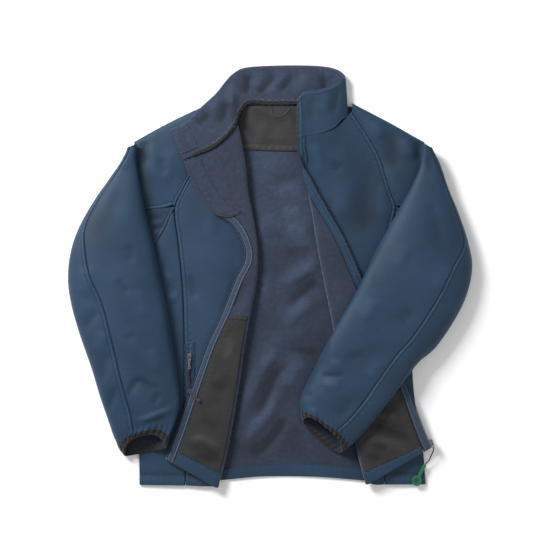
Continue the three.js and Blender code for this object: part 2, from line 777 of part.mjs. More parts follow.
const ARMS = { r: { rows: ARM_R, mirror: 1 }, l: { rows: ARM_L, mirror: -1 } };
const TOP_COLUMNS = 11;
const CUFF_COLUMNS = 20;
for (const [hand, { rows, mirror }] of Object.entries(ARMS)) {
  const last = rows.length - 1;
  const cuffStart = last - 0.5;
  const stations = ladder([0, 5, cuffStart], [9, 15]);
  const rings = stations.map((at) => sleeveRing(rows, at));
  const lengths = rings.map((ring, i) => {
    const share = value(rows, 'elbow', stations[i]);
    const elbow = ring.find((point) => point.upper && point.across >= share).length;
    const all = ring[ring.length - 1].length;
    return [...ladder([GAP / 2, elbow - GAP / 2], [TOP_COLUMNS]),
      ...ladder([elbow + GAP / 2, all - GAP / 2], [TOP_COLUMNS])];
  });
  const { outer, inner } = tubeGrids(rings, lengths, mirror);
  const part = (grid, from) => grid.map((row) => row.slice(from, from + TOP_COLUMNS + 1));
  add(`sleeve_top_${hand}`, 'shell', closedWall(part(outer, 0), part(inner, 0)));
  add(`sleeve_elbow_${hand}`, 'shell',
    closedWall(part(outer, TOP_COLUMNS + 1), part(inner, TOP_COLUMNS + 1)));
  const cuffRings = [sleeveRing(rows, cuffStart, 2.2), sleeveRing(rows, last)];
  const cuffLengths = cuffRings.map((ring) =>
    ladder([0, ring[ring.length - 1].length], [CUFF_COLUMNS]).slice(0, CUFF_COLUMNS));
  const cuff = tubeGrids(cuffRings, cuffLengths, mirror);
  add(`cuff_binding_${hand}`, 'binding', closedWall(cuff.outer, cuff.inner, true));
}

// Hard pieces along the zips, each drawn about its slider: x out of the tape, y up the zip and
// z away from the cloth.
const wasm = await Module();
wasm.setup();

function solid(geometry) {
  const bare = new THREE.BufferGeometry().setAttribute('position',
    (geometry.index ? geometry.toNonIndexed() : geometry).getAttribute('position'));
  const merged = mergeVertices(bare, 1e-4);
  return new wasm.Manifold(new wasm.Mesh({
    numProp: 3,
    vertProperties: merged.getAttribute('position').array,
    triVerts: new Uint32Array(merged.getIndex().array),
  }));
}

function joined(first, second) {
  const mesh = solid(first).add(solid(second)).getMesh();
  const geometry = new THREE.BufferGeometry();
  geometry.setAttribute('position', new THREE.Float32BufferAttribute(mesh.vertProperties, 3));
  geometry.setIndex([...mesh.triVerts]);
  geometry.computeVertexNormals();
  return geometry;
}

// A plate from a plan outline, with holes, centred on a height.
function plate(outline, thick, height, holes = []) {
  const shape = new THREE.Shape(outline);
  shape.holes = holes;
  const geometry = new THREE.ExtrudeGeometry(shape, { depth: thick, bevelEnabled: false });
  return geometry.translate(0, 0, height - thick / 2);
}

function corners(pairs) {
  return pairs.map(([x, y]) => new THREE.Vector2(x, y));
}

const BRIDGE = { wide: 1.8, long: 5.4, thick: 1.2, room: 2.4 };
const TAB = { thick: 1.2, pivot: 1.15, bar: 1.2, slot: 4.6, slotWide: 3 };

// A zip slider: a shield-shaped body with a bridge over the pull tab's bar.
function sliderGeometry(wide, long, thick) {
  const half = wide / 2;
  const body = plate(corners([[-half, long * 0.2], [-half * 0.6, long / 2], [half * 0.6, long / 2],
    [half, long * 0.2], [half * 0.75, -long / 2], [-half * 0.75, -long / 2]]), thick, 0);
  const high = BRIDGE.room + BRIDGE.thick;
  const reach = BRIDGE.long / 2;
  const inside = reach - BRIDGE.thick;
  const arch = new THREE.Shape(corners([[-reach, -0.5], [-inside, -0.5], [-inside, BRIDGE.room],
    [inside, BRIDGE.room], [inside, -0.5], [reach, -0.5], [reach - 0.5, high], [0.5 - reach, high]]));
  const bridge = new THREE.ExtrudeGeometry(arch, { depth: BRIDGE.wide, bevelEnabled: false });
  bridge.translate(0, 0, -BRIDGE.wide / 2);
  const turned = new THREE.Matrix4().makeBasis(new THREE.Vector3(0, 1, 0), new THREE.Vector3(0, 0, 1),
    new THREE.Vector3(1, 0, 0));
  bridge.applyMatrix4(turned).translate(0, 0, thick / 2);
  return joined(body, bridge);
}

// A pull tab: its bar turns under the bridge, its end has a hole for the cord.
function tabGeometry(length, waist) {
  const bar = TAB.bar / 2;
  const end = -length;
  const right = [[3, bar], [3, -TAB.slot - 0.8], [waist, end * 0.62], [2.9, end + 3], [2.9, end + 1.4],
    [1.6, end]];
  const left = right.map(([x, y]) => [-x, y]).reverse();
  const slot = new THREE.Path(corners([[-TAB.slotWide / 2, -bar], [-TAB.slotWide / 2, -TAB.slot],
    [TAB.slotWide / 2, -TAB.slot], [TAB.slotWide / 2, -bar]]));
  const hole = new THREE.Path(corners([0, 1, 2, 3, 4, 5, 6, 7].map((k) =>
    [1.3 * Math.cos(k * Math.PI / 4), end + 2.9 + 1.3 * Math.sin(k * Math.PI / 4)])));
  return plate(corners([...right, ...left]), TAB.thick, 0, [slot, hole]);
}

// The frame of a slider on a cloth: s and at are its place, lift its height over the cloth.
function zipFrame(cloth, s, at, face, lift) {
  const up = cloth.point(s, at - 0.1).sub(cloth.point(s, at + 0.1)).normalize();
  const away = cloth.normal(s, at).multiplyScalar(face);
  const out = up.clone().cross(away).normalize();
  return new THREE.Matrix4().makeBasis(out, up, away)
    .setPosition(cloth.point(s, at).addScaledVector(away, lift));
}

// Puts a pull tab's bar on its slider's pivot, and keeps the axis that it turns about.
function pullTab(name, geometry, frame, pivot) {
  const mesh = add(name, 'metal', geometry.translate(...pivot).applyMatrix4(frame));
  mesh.userData.hinge = {
    at: pivot.clone().applyMatrix4(frame),
    axis: new THREE.Vector3().setFromMatrixColumn(frame, 0),
  };
}

const raised = (x, y, z) => new THREE.Matrix4().makeTranslation(x, y, z);

// Main zip: pin on the right front's end, box, slider and pull on the left front's end.
const END = { pin: 0.13, box: 0.09, slider: 0.32, pinHalf: 1.5, boxHalf: 1.8 };
const MAIN = { wide: 9, long: 11, thick: 4.4, tab: 11 };
const lastR = FRONT_R.length - 1;
const lastL = FRONT_L.length - 1;
piece('zip_pin_r', 'metal', FRONTS.r.cloth, {
  columns: (at) => [0, FRONTS.r.cloth.reach(TEETH, at)],
  stations: [lastR - END.pin + 0.02, lastR - 0.01],
  low: -END.pinHalf,
  high: END.pinHalf,
});
piece('zip_box_l', 'metal', FRONTS.l.cloth, {
  columns: (at) => [0, FRONTS.l.cloth.reach(TEETH, at)],
  stations: [lastL - END.box, lastL - 0.01],
  low: -END.boxHalf,
  high: END.boxHalf,
});
const mainFrame = zipFrame(FRONTS.l.cloth, 0, lastL - END.slider, -1, 0)
  .multiply(raised(MAIN.wide / 2 - TEETH, 0, 0));
const mainPivot = new THREE.Vector3(0, 0, MAIN.thick / 2 + TAB.pivot);
add('zip_slider_l', 'metal', sliderGeometry(MAIN.wide, MAIN.long, MAIN.thick).applyMatrix4(mainFrame));
pullTab('zip_pull_tab_l', tabGeometry(MAIN.tab, 2.2), mainFrame, mainPivot);

// Pocket zip on the right front, beside the princess seam.
const POCKET = { wide: 17, start: 8.77, end: 10.85, slider: 9.22, lift: HALF + GAP };
const SLIDER = { wide: 8, long: 12, thick: 3.2, tab: 23 };
const rightFront = FRONTS.r.cloth;
const fromSeam = (width, at) => {
  const curve = rightFront.curve(at);
  return rightFront.reach(curve.getLength() - width, at);
};
piece('pocket_zip_tape_r', 'tape', rightFront, {
  columns: (at) => [POCKET.wide + 1.5, POCKET.wide / 2 + 1.5, 1.5].map((width) => fromSeam(width, at)),
  stations: ladder([POCKET.start, POCKET.end], [6]),
  low: POCKET.lift,
  high: POCKET.lift + LINING,
});
const pocketTop = POCKET.lift + LINING + GAP;
piece('pocket_zip_teeth_r', 'teeth', rightFront, {
  columns: (at) => [2, -2].map((width) => fromSeam(POCKET.wide / 2 + 1.5 + width, at)),
  stations: ladder([POCKET.slider + 0.14, POCKET.end - 0.02], [5]),
  low: pocketTop,
  high: pocketTop + 1.4,
});
const pocketFrame = zipFrame(rightFront, fromSeam(POCKET.wide / 2 + 1.5, POCKET.slider), POCKET.slider, 1,
  pocketTop + 0.2 + SLIDER.thick / 2);
const pocketPivot = new THREE.Vector3(0, 0, SLIDER.thick / 2 + TAB.pivot);
add('pocket_slider_r', 'metal',
  sliderGeometry(SLIDER.wide, SLIDER.long, SLIDER.thick).applyMatrix4(pocketFrame));
pullTab('pocket_pull_tab_r', tabGeometry(SLIDER.tab, 1.9), pocketFrame, pocketPivot);

// Hanger loop: a flat cord held at both ends on the neck facing.
const LOOP = table(`
  x    y    z
  2    313  5.15
  3    305  5.15
  5.5  297.5  5.15
  12   294.5  5.15
  21   295.5  5.15
  30   301  5.15
  38   311  5.15`);
function flatCord(rows, wide, thick, steps) {
  const route = new THREE.CatmullRomCurve3(rows.map((row) => new THREE.Vector3(row.x, row.y, row.z)));
  const half = wide / 2;
  const section = new THREE.Shape(corners([[-half, -thick / 2], [half, -thick / 2], [half, thick / 2],
    [-half, thick / 2]]));
  return new THREE.ExtrudeGeometry(section, { extrudePath: route, steps, bevelEnabled: false });
}
add('hanger_loop', 'binding', flatCord(LOOP, 2.4, 2.4, 12));

// Pull cords and their grips.
const CORD = 2.2;
const MAIN_CORD = table(`
  x      y       z
  301    -316.5  18.3
  300    -322    17.2
  296.5  -331    14.2
  293    -340    11.3
  286    -347.6  9.3`);
const POCKET_CORD = table(`
  x       y       z
  -149    -171.8  14.6
  -150.4  -180    15.8
  -150.8  -190    18.4
  -150.8  -198    21
  -150.3  -206.9  22.8`);
function roundCord(rows, steps) {
  const route = new THREE.CatmullRomCurve3(rows.map((row) => new THREE.Vector3(row.x, row.y, row.z)));
  const section = new THREE.Shape(corners([0, 1, 2, 3, 4, 5, 6, 7].map((k) =>
    [CORD / 2 * Math.cos(k * Math.PI / 4), CORD / 2 * Math.sin(k * Math.PI / 4)])));
  return new THREE.ExtrudeGeometry(section, { extrudePath: route, steps, bevelEnabled: false });
}
add('zip_cord_l', 'cord', roundCord(MAIN_CORD, 8));
add('pocket_cord_r', 'cord', roundCord(POCKET_CORD, 8));

// The green grip: a flat drop, narrow where the cord enters.
const DROP = { neck: 3.2, length: 33, radius: 9.5, thick: 4 };
function dropGeometry() {
  const outline = [];
  for (let k = 0; k <= 14; k += 1) {
    const angle = THREE.MathUtils.degToRad(160 - 320 * k / 14);
    outline.push([DROP.length + DROP.radius * Math.cos(angle), DROP.radius * Math.sin(angle)]);
  }
  outline.push([0, -DROP.neck], [0, DROP.neck]);
  return plate(corners(outline.reverse()), DROP.thick, 0);
}
const dropFrame = new THREE.Matrix4().makeRotationZ(THREE.MathUtils.degToRad(-117))
  .setPosition(285.7, -348.2, 8.7);
add('zip_grip_l', 'rubber', dropGeometry().applyMatrix4(dropFrame));

// The pocket pull's soft end: a tapered stem with a knot.
const STEM = table(`
  along  radius
  0      1.6
  1.5    2.6
  9      3.1
  20     3.3
  24     2.2
  26.5   3.1
  30     2.6
  31.5   0.8`);
function stemGeometry() {
  const profile = STEM.map((row) => new THREE.Vector2(row.radius, row.along));
  profile.unshift(new THREE.Vector2(0, STEM[0].along));
  profile.push(new THREE.Vector2(0, STEM[STEM.length - 1].along));
  return new THREE.LatheGeometry(profile, 10).rotateZ(-Math.PI / 2);
}
const stemFrame = new THREE.Matrix4().makeRotationZ(THREE.MathUtils.degToRad(-48))
  .setPosition(-149.6, -207.6, 22.8);
add('pocket_grip_r', 'cord', stemGeometry().applyMatrix4(stemFrame));

jacket.position.set(-MIDDLE.x, -MIDDLE.y, 0);

export default jacket;
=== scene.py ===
import json
import math

import bpy
import numpy as np
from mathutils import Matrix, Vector


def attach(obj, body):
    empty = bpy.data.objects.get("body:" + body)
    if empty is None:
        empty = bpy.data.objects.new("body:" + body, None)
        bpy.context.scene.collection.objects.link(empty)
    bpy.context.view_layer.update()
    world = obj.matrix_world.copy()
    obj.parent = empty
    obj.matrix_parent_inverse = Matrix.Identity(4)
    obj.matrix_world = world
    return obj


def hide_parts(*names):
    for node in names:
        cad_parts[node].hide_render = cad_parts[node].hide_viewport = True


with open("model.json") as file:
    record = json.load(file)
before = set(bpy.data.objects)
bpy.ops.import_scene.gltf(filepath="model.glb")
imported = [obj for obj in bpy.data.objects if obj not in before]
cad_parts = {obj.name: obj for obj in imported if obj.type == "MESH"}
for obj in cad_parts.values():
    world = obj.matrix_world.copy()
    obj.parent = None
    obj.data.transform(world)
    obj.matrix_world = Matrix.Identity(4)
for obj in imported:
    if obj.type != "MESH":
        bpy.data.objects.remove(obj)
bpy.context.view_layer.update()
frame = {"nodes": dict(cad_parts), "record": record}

# A softshell jacket laid on its back. Plan and heights in millimetres, as in the part's source:
# +X to the wearer's left, +Y toward the collar, +Z up from the table.
MM = 0.001
PLAN_TO_FRAME = np.array([0.3, 0.4, 0.0])
WALL = 2.2
HALF = WALL / 2
BINDING = 1.6
LINING = 1.0
GAP = 0.35
FOLD_RADIUS = 5
TEETH = 3.4
TAPE = 13.5
TEETH_HALF = 1.0
TAPE_HALF = 0.7
UP = np.array([0, 0, 1.0])

# Outer and inner levels of what lies on the cloth's outer face, and of what lies under its inner one.
OVER = HALF + GAP
UNDER = -OVER


def to_frame(points):
    return (np.asarray(points, float) + PLAN_TO_FRAME) * MM


# Camera straight above the table, framed as the photograph is.
VIEW_WIDTH = 0.999
CAMERA_HEIGHT = 3.0
SENSOR = 36.0
camera = bpy.data.objects.new("camera", bpy.data.cameras.new("camera"))
bpy.context.scene.collection.objects.link(camera)
camera.data.sensor_width = SENSOR
camera.data.lens = SENSOR * CAMERA_HEIGHT / VIEW_WIDTH
camera.location = (0.0003, 0.0115, CAMERA_HEIGHT)
bpy.context.scene.camera = camera


# Turns a short table with named columns into arrays.
def table(text):
    names, *rows = [line.split() for line in text.strip().splitlines()]
    return {name: np.array([float(row[i]) for row in rows]) for i, name in enumerate(names)}


# Back panel: right edge l, centre c and left edge r of each row, neck to hem.
BACK = table("""
  at   lx   ly cx   cy  rx   ry
   0  -41  320 43  320 126  317
   1  -78  289 41  285 152  283
   2 -137  209 33  209 192  209
   3 -189  137 28  137 226  137
   4 -237   89 24   89 263   89
   5 -240   33 24   33 265   30
   6 -242  -26 24  -35 263  -44
   7 -244 -137 24 -137 262 -137
   8 -244 -229 24 -229 267 -229
   9 -242 -322 24 -313 282 -318
  10 -241 -386 24 -370 288 -385""")

# Fronts: seam a, middle m, fold line f with its turn, flap middle g and zip edge z.
FRONT_R = table("""
  at   ax   ay   az   mx   my   mz  fx   fy  fz turn   gx   gy   gz   zx   zy   zz
   0  -85  272   12  -72  274 12.5 -59  276  12  180  -91  242   25 -159  211   26
   1 -109  248 11.6  -78  248   13 -54  252  12  180  -91  215   25 -146  181   25
   2 -135  205   11  -89  215   13 -46  205  11  180  -81  185   24 -128  148   23
   3 -163  155  9.6 -100  168 12.5 -41  155  10  180  -68  141   21 -104  117   19
   4 -176  122  8.2 -102  118   12 -33  115   9  180  -52  107   19  -74   96 17.5
   5 -170   67    7 -100   67   11 -25   67   8  180  -39   67 18.5  -54   67 17.5
   6 -165   20  6.5  -98   26 10.5 -23   30   8  180  -35   30 18.5  -48   33   17
   7 -161  -26  6.5  -98  -22   10 -26  -13   8  180  -44  -11 18.5  -67   -9 16.5
   8 -159  -81  6.5 -100  -78   10 -37  -72   8  180  -61  -70 18.5  -91  -70   16
   9 -158 -137  6.5 -104 -133   10 -48 -133   8  180  -81 -128 18.5 -117 -126   16
  10 -158 -192  6.5 -107 -192   10 -57 -196   8  180  -98 -189   18 -138 -183   16
  11 -158 -257  6.5 -113 -259  9.5 -68 -263   8  180 -113 -250 17.5 -157 -237   16
  12 -157 -322  6.2 -118 -326    9 -81 -331 7.5  180 -130 -309   17 -175 -290 15.5
  13 -156 -387    6 -126 -388    8 -96 -390   7  180 -144 -365 16.5 -193 -337   15""")
FRONT_L = table("""
  at  ax   ay   az  mx   my mz   fx   fy  fz turn   gx    gy   gz   zx    zy   zz
   0 151  303   10 113  269 20   59  257  22   30   54   257 22.8   48   256 23.2
   1 179  261 10.5 118  233 17   59  231  18   40   54   231 19.2   49   231   20
   2 202  220   10 133  204 14 58.5  207  13  105 58.6 206.5 20.8 58.8 206.5   23
   3 215  181  9.6 141  181 13   62  183  11  165 68.6 184.5 21.2   72 185.2 21.6
   4 224  152    9 148  152 12   71  154  10  180   79   155   20   87   157   20
   5 233  126  8.2 155  118 12   78  118   9  180   92   120   19  107   122   19
   6 224   85    7 155   74 11   85   72   8  180  109    74 18.5  134    76   18
   7 220   26  6.5 155   22 10   94   22   8  180  126    24 18.5  157    26   17
   8 216  -44  6.5 163  -46 10  108  -48   8  180  148   -46 18.5  187   -44 16.5
   9 215 -128  6.5 170 -128 10  124 -130   8  180  174  -126 18.5  222  -122   16
  10 213 -215  6.5 178 -215 10  139 -216   8  180  198  -209   18  255  -202   16
  11 212 -318  6.2 185 -320  9  160 -318 7.5  180  224  -303   17  285  -283 15.5
  12 211 -385    6 194 -385  8  177 -384   7  180  237  -351 16.5  299  -315   15""")

# Side seams and armholes of the front side panels, at the stations of the fronts.
SIDE_R = table("""
   at   sx   sy  sz
    4 -181  117 7.6
  4.7 -196   83 6.4
  5.4 -215   56 5.4
    6 -240   31 4.2
    7 -242  -26 3.9
    8 -244  -81 3.8
    9 -244 -137 3.8
   10 -244 -192 3.8
   11 -244 -257 3.8
   12 -242 -322 3.8
   13 -241 -386 3.8""")
SIDE_L = table("""
   at  sx   sy  sz
    5 239  117 7.6
  5.6 246   82 6.4
  6.3 253   54 5.4
    7 264   28 4.2
    8 263  -44 3.9
    9 262 -128 3.8
   10 266 -215 3.8
   11 282 -318 3.8
   12 288 -385 3.8""")

# Raglan shoulders: front seam p, crown q, outline s where the cloth turns under.
CAP_R = table("""
  at   px  py   pz   qx  qy qz   sx  sy sz
   0  -86 275   12  -85 300 13  -85 326 12
   1 -116 243 11.5 -126 270 16 -131 308 13
   2 -149 187 10.5 -166 233 16 -176 287 13
   3 -178 131  8.5 -204 192 14 -218 265 12
   4 -255 119    7 -264 178 11 -250 247  9""")
CAP_L = table("""
  at  px  py   pz  qx  qy qz  sx  sy sz
   0 151 303   10 153 311 11 151 318 11
   1 183 264 10.5 186 280 15 180 303 13
   2 206 223   10 216 252 16 222 281 13
   3 236 132  8.5 252 205 14 261 259 12
   4 277 120    7 290 172 11 285 246  9""")

# Undersleeve gussets: outer side o, and the armhole's stations on the side panel.
GUSSET_R = table("""
  at   ox  oy  oz  arm
   0 -255 115 6.8 4.05
   1 -248  90 5.8  4.6
   2 -246  60 4.8  5.3
   3 -246  38 4.2  5.8""")
GUSSET_L = table("""
  at  ox  oy  oz  arm
   0 277 116 6.8 5.05
   1 273  88 5.8  5.5
   2 270  62 4.5  6.2
   3 269  36 3.8  6.7""")

# Collar: neck seam s and top edge t, from the right front's tip round the back to the left front.
COLLAR = table("""
  at   sx  sy   sz   tx  ty   tz
   0 -159 213 28.8 -183 270   22
   1 -130 224 28.4 -157 281   23
   2 -107 233 28.0 -128 309   22
   3  -89 246 27.6 -100 335   20
   4  -68 270   26  -83 357   17
   5  -57 299   17  -67 374   12
   6  -41 321    8  -44 385    7
   7    0 320  4.2   13 389  3.6
   8   56 320  4.2   72 389  3.6
   9  102 317    5  107 386  4.6
  10  126 313    8  128 379    8
  11  138 302 14.5  138 368   14
  12  131 288 21.5  131 361 20.5
  13  117 272   25  111 349 22.5
  14   92 262 25.8   87 342   23
  15   67 257 26.2   63 339   23
  16   49 256 26.4   50 326   23""")

# Sleeves: inner side i and outer side o in plan, top height, share of the width where the elbow
# seam lies, and how far the cuff's lips stand back or forward.
ARM_R = table("""
  at   ix   iy   ox   oy top elbow back fore
   0 -246  242 -259  236  27  0.75    0    0
   1 -248  215 -270  211  31  0.80    0    0
   2 -244  187 -294  178  35  0.86    0    0
   3 -239  154 -320  141  40  0.90    0    0
   4 -228  100 -348   92  44  0.90    0    0
   5 -216   52 -364   48  46  0.82    0    0
   6 -204   -4 -370   -2  48  0.74    0    0
   7 -194  -50 -364  -50  48  0.66    0    0
   8 -185 -105 -348 -107  48  0.65    0    0
   9 -176 -161 -327 -168  46  0.67    0    0
  10 -170 -207 -311 -220  44  0.67    0    0
  11 -168 -235 -298 -259  41  0.67    4    0
  12 -176 -266 -287 -292  38  0.68   12    0
  13 -187 -296 -276 -316  34  0.69   24    1
  14 -192 -314 -266 -331  31  0.70   31    3""")
ARM_L = table("""
  at  ix   iy  ox   oy top elbow back fore
   0 282  243 295  235  27  0.75    0    0
   1 278  204 311  204  32  0.85    0    0
   2 263  166 327  159  37  0.92    0    0
   3 242  128 346  113  42  0.94    0    0
   4 218   85 363   61  46  0.94    0    0
   5 194   41 370   11  48  0.80    0    0
   6 170   -9 353  -52  50  0.74    0    0
   7 152  -44 307 -126  50  0.73    0    0
   8 118 -102 270 -159  50  0.74    0    0
   9  94 -150 233 -205  48  0.74    0    0
  10  72 -194 202 -246  46  0.74    0    0
  11  59 -224 170 -285  43  0.72    4    0
  12  59 -252 142 -313  40  0.68   12    4
  13  63 -265 130 -322  37  0.66   21   13""")


# A column of a table read between its rows, as a smooth curve through them.
def value(rows, name, at):
    at = np.asarray(at, float)
    knots, v = rows["at"], rows[name]
    count = np.arange(len(knots))
    before, after = np.maximum(count - 1, 0), np.minimum(count + 1, len(knots) - 1)
    slope = (v[after] - v[before]) / (knots[after] - knots[before])
    i = np.searchsorted(knots[1:-1], at, side="left")
    span = knots[i + 1] - knots[i]
    t = (at - knots[i]) / span
    ease = t * t * (3 - 2 * t)
    bends = span * t * (1 - t) * (slope[i] * (1 - t) - slope[i + 1] * t)
    return v[i] * (1 - ease) + v[i + 1] * ease + bends


def spot(rows, key, at):
    at = np.asarray(at, float)
    z = value(rows, key + "z", at) if key + "z" in rows else np.zeros_like(at)
    return np.stack([value(rows, key + "x", at), value(rows, key + "y", at), z], axis=-1)


def plan(points):
    return points[..., 0], points[..., 1]


def unit(v):
    return v / np.maximum(np.linalg.norm(v, axis=-1, keepdims=True), 1e-9)


def heading(rows, key, at):
    way = spot(rows, key, at + 0.1) - spot(rows, key, at - 0.1)
    way[..., 2] = 0
    return unit(way)


# Distances along paths of points from their first one, on the axis before the last.
def run_of(points):
    steps = np.linalg.norm(np.diff(points, axis=-2), axis=-1)
    return np.concatenate([np.zeros((*steps.shape[:-1], 1)), np.cumsum(steps, axis=-1)], axis=-1)


# The values along a path, read at other places of it.
def read_along(wanted, run, values):
    return np.stack([np.interp(wanted, run, values[:, k]) for k in range(3)], axis=-1)


def quarter_turn(way):
    return np.stack([-way[..., 1], way[..., 0], np.zeros_like(way[..., 0])], axis=-1)


# Points on the curves through each row of control points, at s counted along them.
def along_curves(controls, s):
    first = 2 * controls[:, :1] - controls[:, 1:2]
    last = 2 * controls[:, -1:] - controls[:, -2:-1]
    padded = np.concatenate([first, controls, last], axis=1)
    s = np.clip(s, 0, controls.shape[1] - 1)
    i = np.minimum(np.floor(s).astype(int), controls.shape[1] - 2)
    w = (s - i)[..., None]
    row = np.arange(len(s))[:, None]
    p0, p1, p2, p3 = (padded[row, i + k] for k in range(4))
    d0, d1, d2 = (np.sqrt(np.linalg.norm(b - a, axis=-1, keepdims=True)) for a, b in
                  ((p0, p1), (p1, p2), (p2, p3)))
    d1 = np.where(d1 < 1e-4, 1, d1)
    d0 = np.where(d0 < 1e-4, d1, d0)
    d2 = np.where(d2 < 1e-4, d1, d2)
    m1 = ((p1 - p0) / d0 - (p2 - p0) / (d0 + d1) + (p2 - p1) / d1) * d1
    m2 = ((p2 - p1) / d1 - (p3 - p1) / (d1 + d2) + (p3 - p2) / d2) * d1
    return (p1 + m1 * w + (-3 * p1 + 3 * p2 - 2 * m1 - m2) * w ** 2
            + (2 * p1 - 2 * p2 + m1 + m2) * w ** 3)


# A cloth surface from the curve across it at each station. side is +1 or -1, so that the normal
# points out of the jacket's outer face.
class Cloth:
    FINE = 24

    def __init__(self, section, side):
        self.section = section
        self.side = side

    def point(self, s, at):
        points = along_curves(self.section(at), s)
        points[..., 2] = np.maximum(points[..., 2], HALF)
        return points

    # Lengths along the curves, at fine steps of s.
    def lengths(self, at):
        controls = self.section(at)
        s = np.linspace(0, controls.shape[1] - 1, (controls.shape[1] - 1) * self.FINE + 1)
        return s, run_of(along_curves(controls, np.broadcast_to(s, (len(at), len(s)))))

    # Where a width of cloth, measured from the curve's first point, ends.
    def reach(self, width, at):
        s, lengths = self.lengths(at)
        widths = np.broadcast_to(width, (len(at),))
        return np.array([np.interp(w, row, s) for w, row in zip(widths, lengths)])

    def reach_back(self, width, at):
        s, lengths = self.lengths(at)
        return np.array([np.interp(row[-1] - width, row, s) for row in lengths])

    # The same as functions of the stations.
    def wide(self, width):
        return lambda at: self.reach(width, at)

    def wide_back(self, width):
        return lambda at: self.reach_back(width, at)


# Distances from one edge to the other, close together near both.
NEAR = np.array([0, 0.3, 0.8, 1.5, 2.4, 3.6, 5, 6.2, 7, 7.8, 9])


def distances(width, step):
    near = NEAR * np.minimum(1, np.asarray(width, float) / (2.6 * NEAR[-1]))[..., None]
    inner = np.asarray(width, float) - 2 * near[..., -1]
    count = max(int(math.ceil(np.max(inner) / step)), 1)
    middle = near[..., -1:] + inner[..., None] * np.arange(1, count) / count
    return np.concatenate([near, middle, (np.asarray(width, float)[..., None] - near)[..., ::-1]], axis=-1)


# Stations between two ends, close together near both.
def stations_of(cloth, first, last, s, step):
    at = np.linspace(first, last, 400)
    length = run_of(cloth.point(np.full((400, 1), s), at)[:, 0])
    return np.interp(distances(length[-1], step), length, at)


# A limit across the cloth at each station, from a number or a function of the stations.
def limit(edge, at):
    return edge(at) if callable(edge) else np.full(len(at), float(edge))


# The grid of a piece between two limits and two stations: points, s and stations.
def grid_of(cloth, low, high, first, last, step=4.0):
    start = np.array([first])
    at = stations_of(cloth, first, last, 0.5 * (limit(low, start)[0] + limit(high, start)[0]), step)
    s, lengths = cloth.lengths(at)
    a = np.array([np.interp(x, s, row) for x, row in zip(limit(low, at), lengths)])
    b = np.array([np.interp(x, s, row) for x, row in zip(limit(high, at), lengths)])
    d = distances(b - a, step)
    places = np.array([np.interp(a[i] + d[i], lengths[i], s) for i in range(len(at))])
    return cloth.point(places, at), places, at


def normals_of(points, wraps=False):
    if wraps:
        padded = np.concatenate([points[:, -1:], points, points[:, :1]], axis=1)
        across = padded[:, 2:] - padded[:, :-2]
    else:
        across = np.gradient(points, axis=1)
    along = np.gradient(points, axis=0)
    return unit(np.cross(across, along))


# How far each place on a grid is from its four edges.
def edge_distances(points):
    across = run_of(points)
    along = np.swapaxes(run_of(np.swapaxes(points, 0, 1)), 0, 1)
    return {"left": across, "right": across[:, -1:] - across,
            "first": along, "last": along[-1:] - along}


# Folds of the cloth, one in each row: the x, y, height and width of its points, commas between
# them. A height below 0 makes a trough.
def folds(text):
    lines = []
    for row in text.strip().splitlines()[1:]:
        line = np.array([point.split() for point in row.split(",")], float)
        for _ in range(3):
            a, b = line[:-1], line[1:]
            inner = np.stack([0.75 * a + 0.25 * b, 0.25 * a + 0.75 * b], axis=1).reshape(-1, 4)
            line = np.concatenate([line[:1], inner, line[-1:]])
        lines.append(line)
    return lines


# Broad soft shade of the shell in plan, between the body and the sleeves: high is how much darker.
BROAD_SHADE = folds("""
  x y high wide
  150 310 0.1 46, 178 230 0.11 56, 186 150 0.12 64, 176 70 0.12 64, 160 -20 0.11 56, 140 -90 0.1 46
  236 310 0.14 40, 258 240 0.18 44, 276 190 0.2 48, 276 100 0.15 40
  -236 262 0.3 10, -234 200 0.4 14, -226 130 0.35 14, -214 60 0.3 12
  -300 170 0.12 40, -330 60 0.16 44, -330 -60 0.1 40
  112 90 0.12 26, 150 10 0.16 30
  -150 80 0.1 22, -146 -60 0.12 24, -156 -220 0.1 22""")
TAPER = 0.28
STEEP, GENTLE = 0.8, 1.35


# The height that folds give at places in plan. Each has a steep side and a gentle one, and runs out
# at both ends.
def creases(x, y, lines):
    rise = np.zeros_like(x)
    for line in lines:
        run = np.diff(line[:, :2], axis=0)
        size = np.linalg.norm(run, axis=-1)
        start = np.concatenate([[0], np.cumsum(size)])
        best = np.full(x.shape, 1e9)
        here = np.zeros(x.shape)
        for k, (rx, ry) in enumerate(run):
            x0, y0, high0, wide0 = line[k]
            high1, wide1 = line[k + 1, 2:]
            share = np.clip(((x - x0) * rx + (y - y0) * ry) / size[k] ** 2, 0, 1)
            dx, dy = x - x0 - share * rx, y - y0 - share * ry
            away = np.hypot(dx, dy)
            wide = (wide0 + (wide1 - wide0) * share) * np.where(dx * ry - dy * rx > 0, GENTLE, STEEP)
            u = (start[k] + size[k] * share) / start[-1]
            end = np.clip(np.minimum(u, 1 - u) / TAPER, 0, 1)
            level = (high0 + (high1 - high0) * share) * end * end * (3 - 2 * end)
            level = level * np.exp(-(away / wide) ** 2)
            closer = away < best
            best = np.where(closer, away, best)
            here = np.where(closer, level, here)
        rise += here
    return rise


# Gentle unevenness of the cloth, from waves of seeded directions and lengths.
def ripple(x, y, seed, wavelength, height):
    rng = np.random.default_rng(seed)
    rise = np.zeros_like(x)
    for _ in range(7):
        way = rng.uniform(0, 2 * math.pi)
        wave = wavelength * rng.uniform(0.6, 1.8)
        rise += np.sin((x * math.cos(way) + y * math.sin(way)) * 2 * math.pi / wave + rng.uniform(0, 6.3))
    return height * rise / 2.6


MATERIALS = {}


def linear(rgb):
    return tuple(((c + 0.055) / 1.055) ** 2.4 if c > 0.04045 else c / 12.92 for c in rgb)


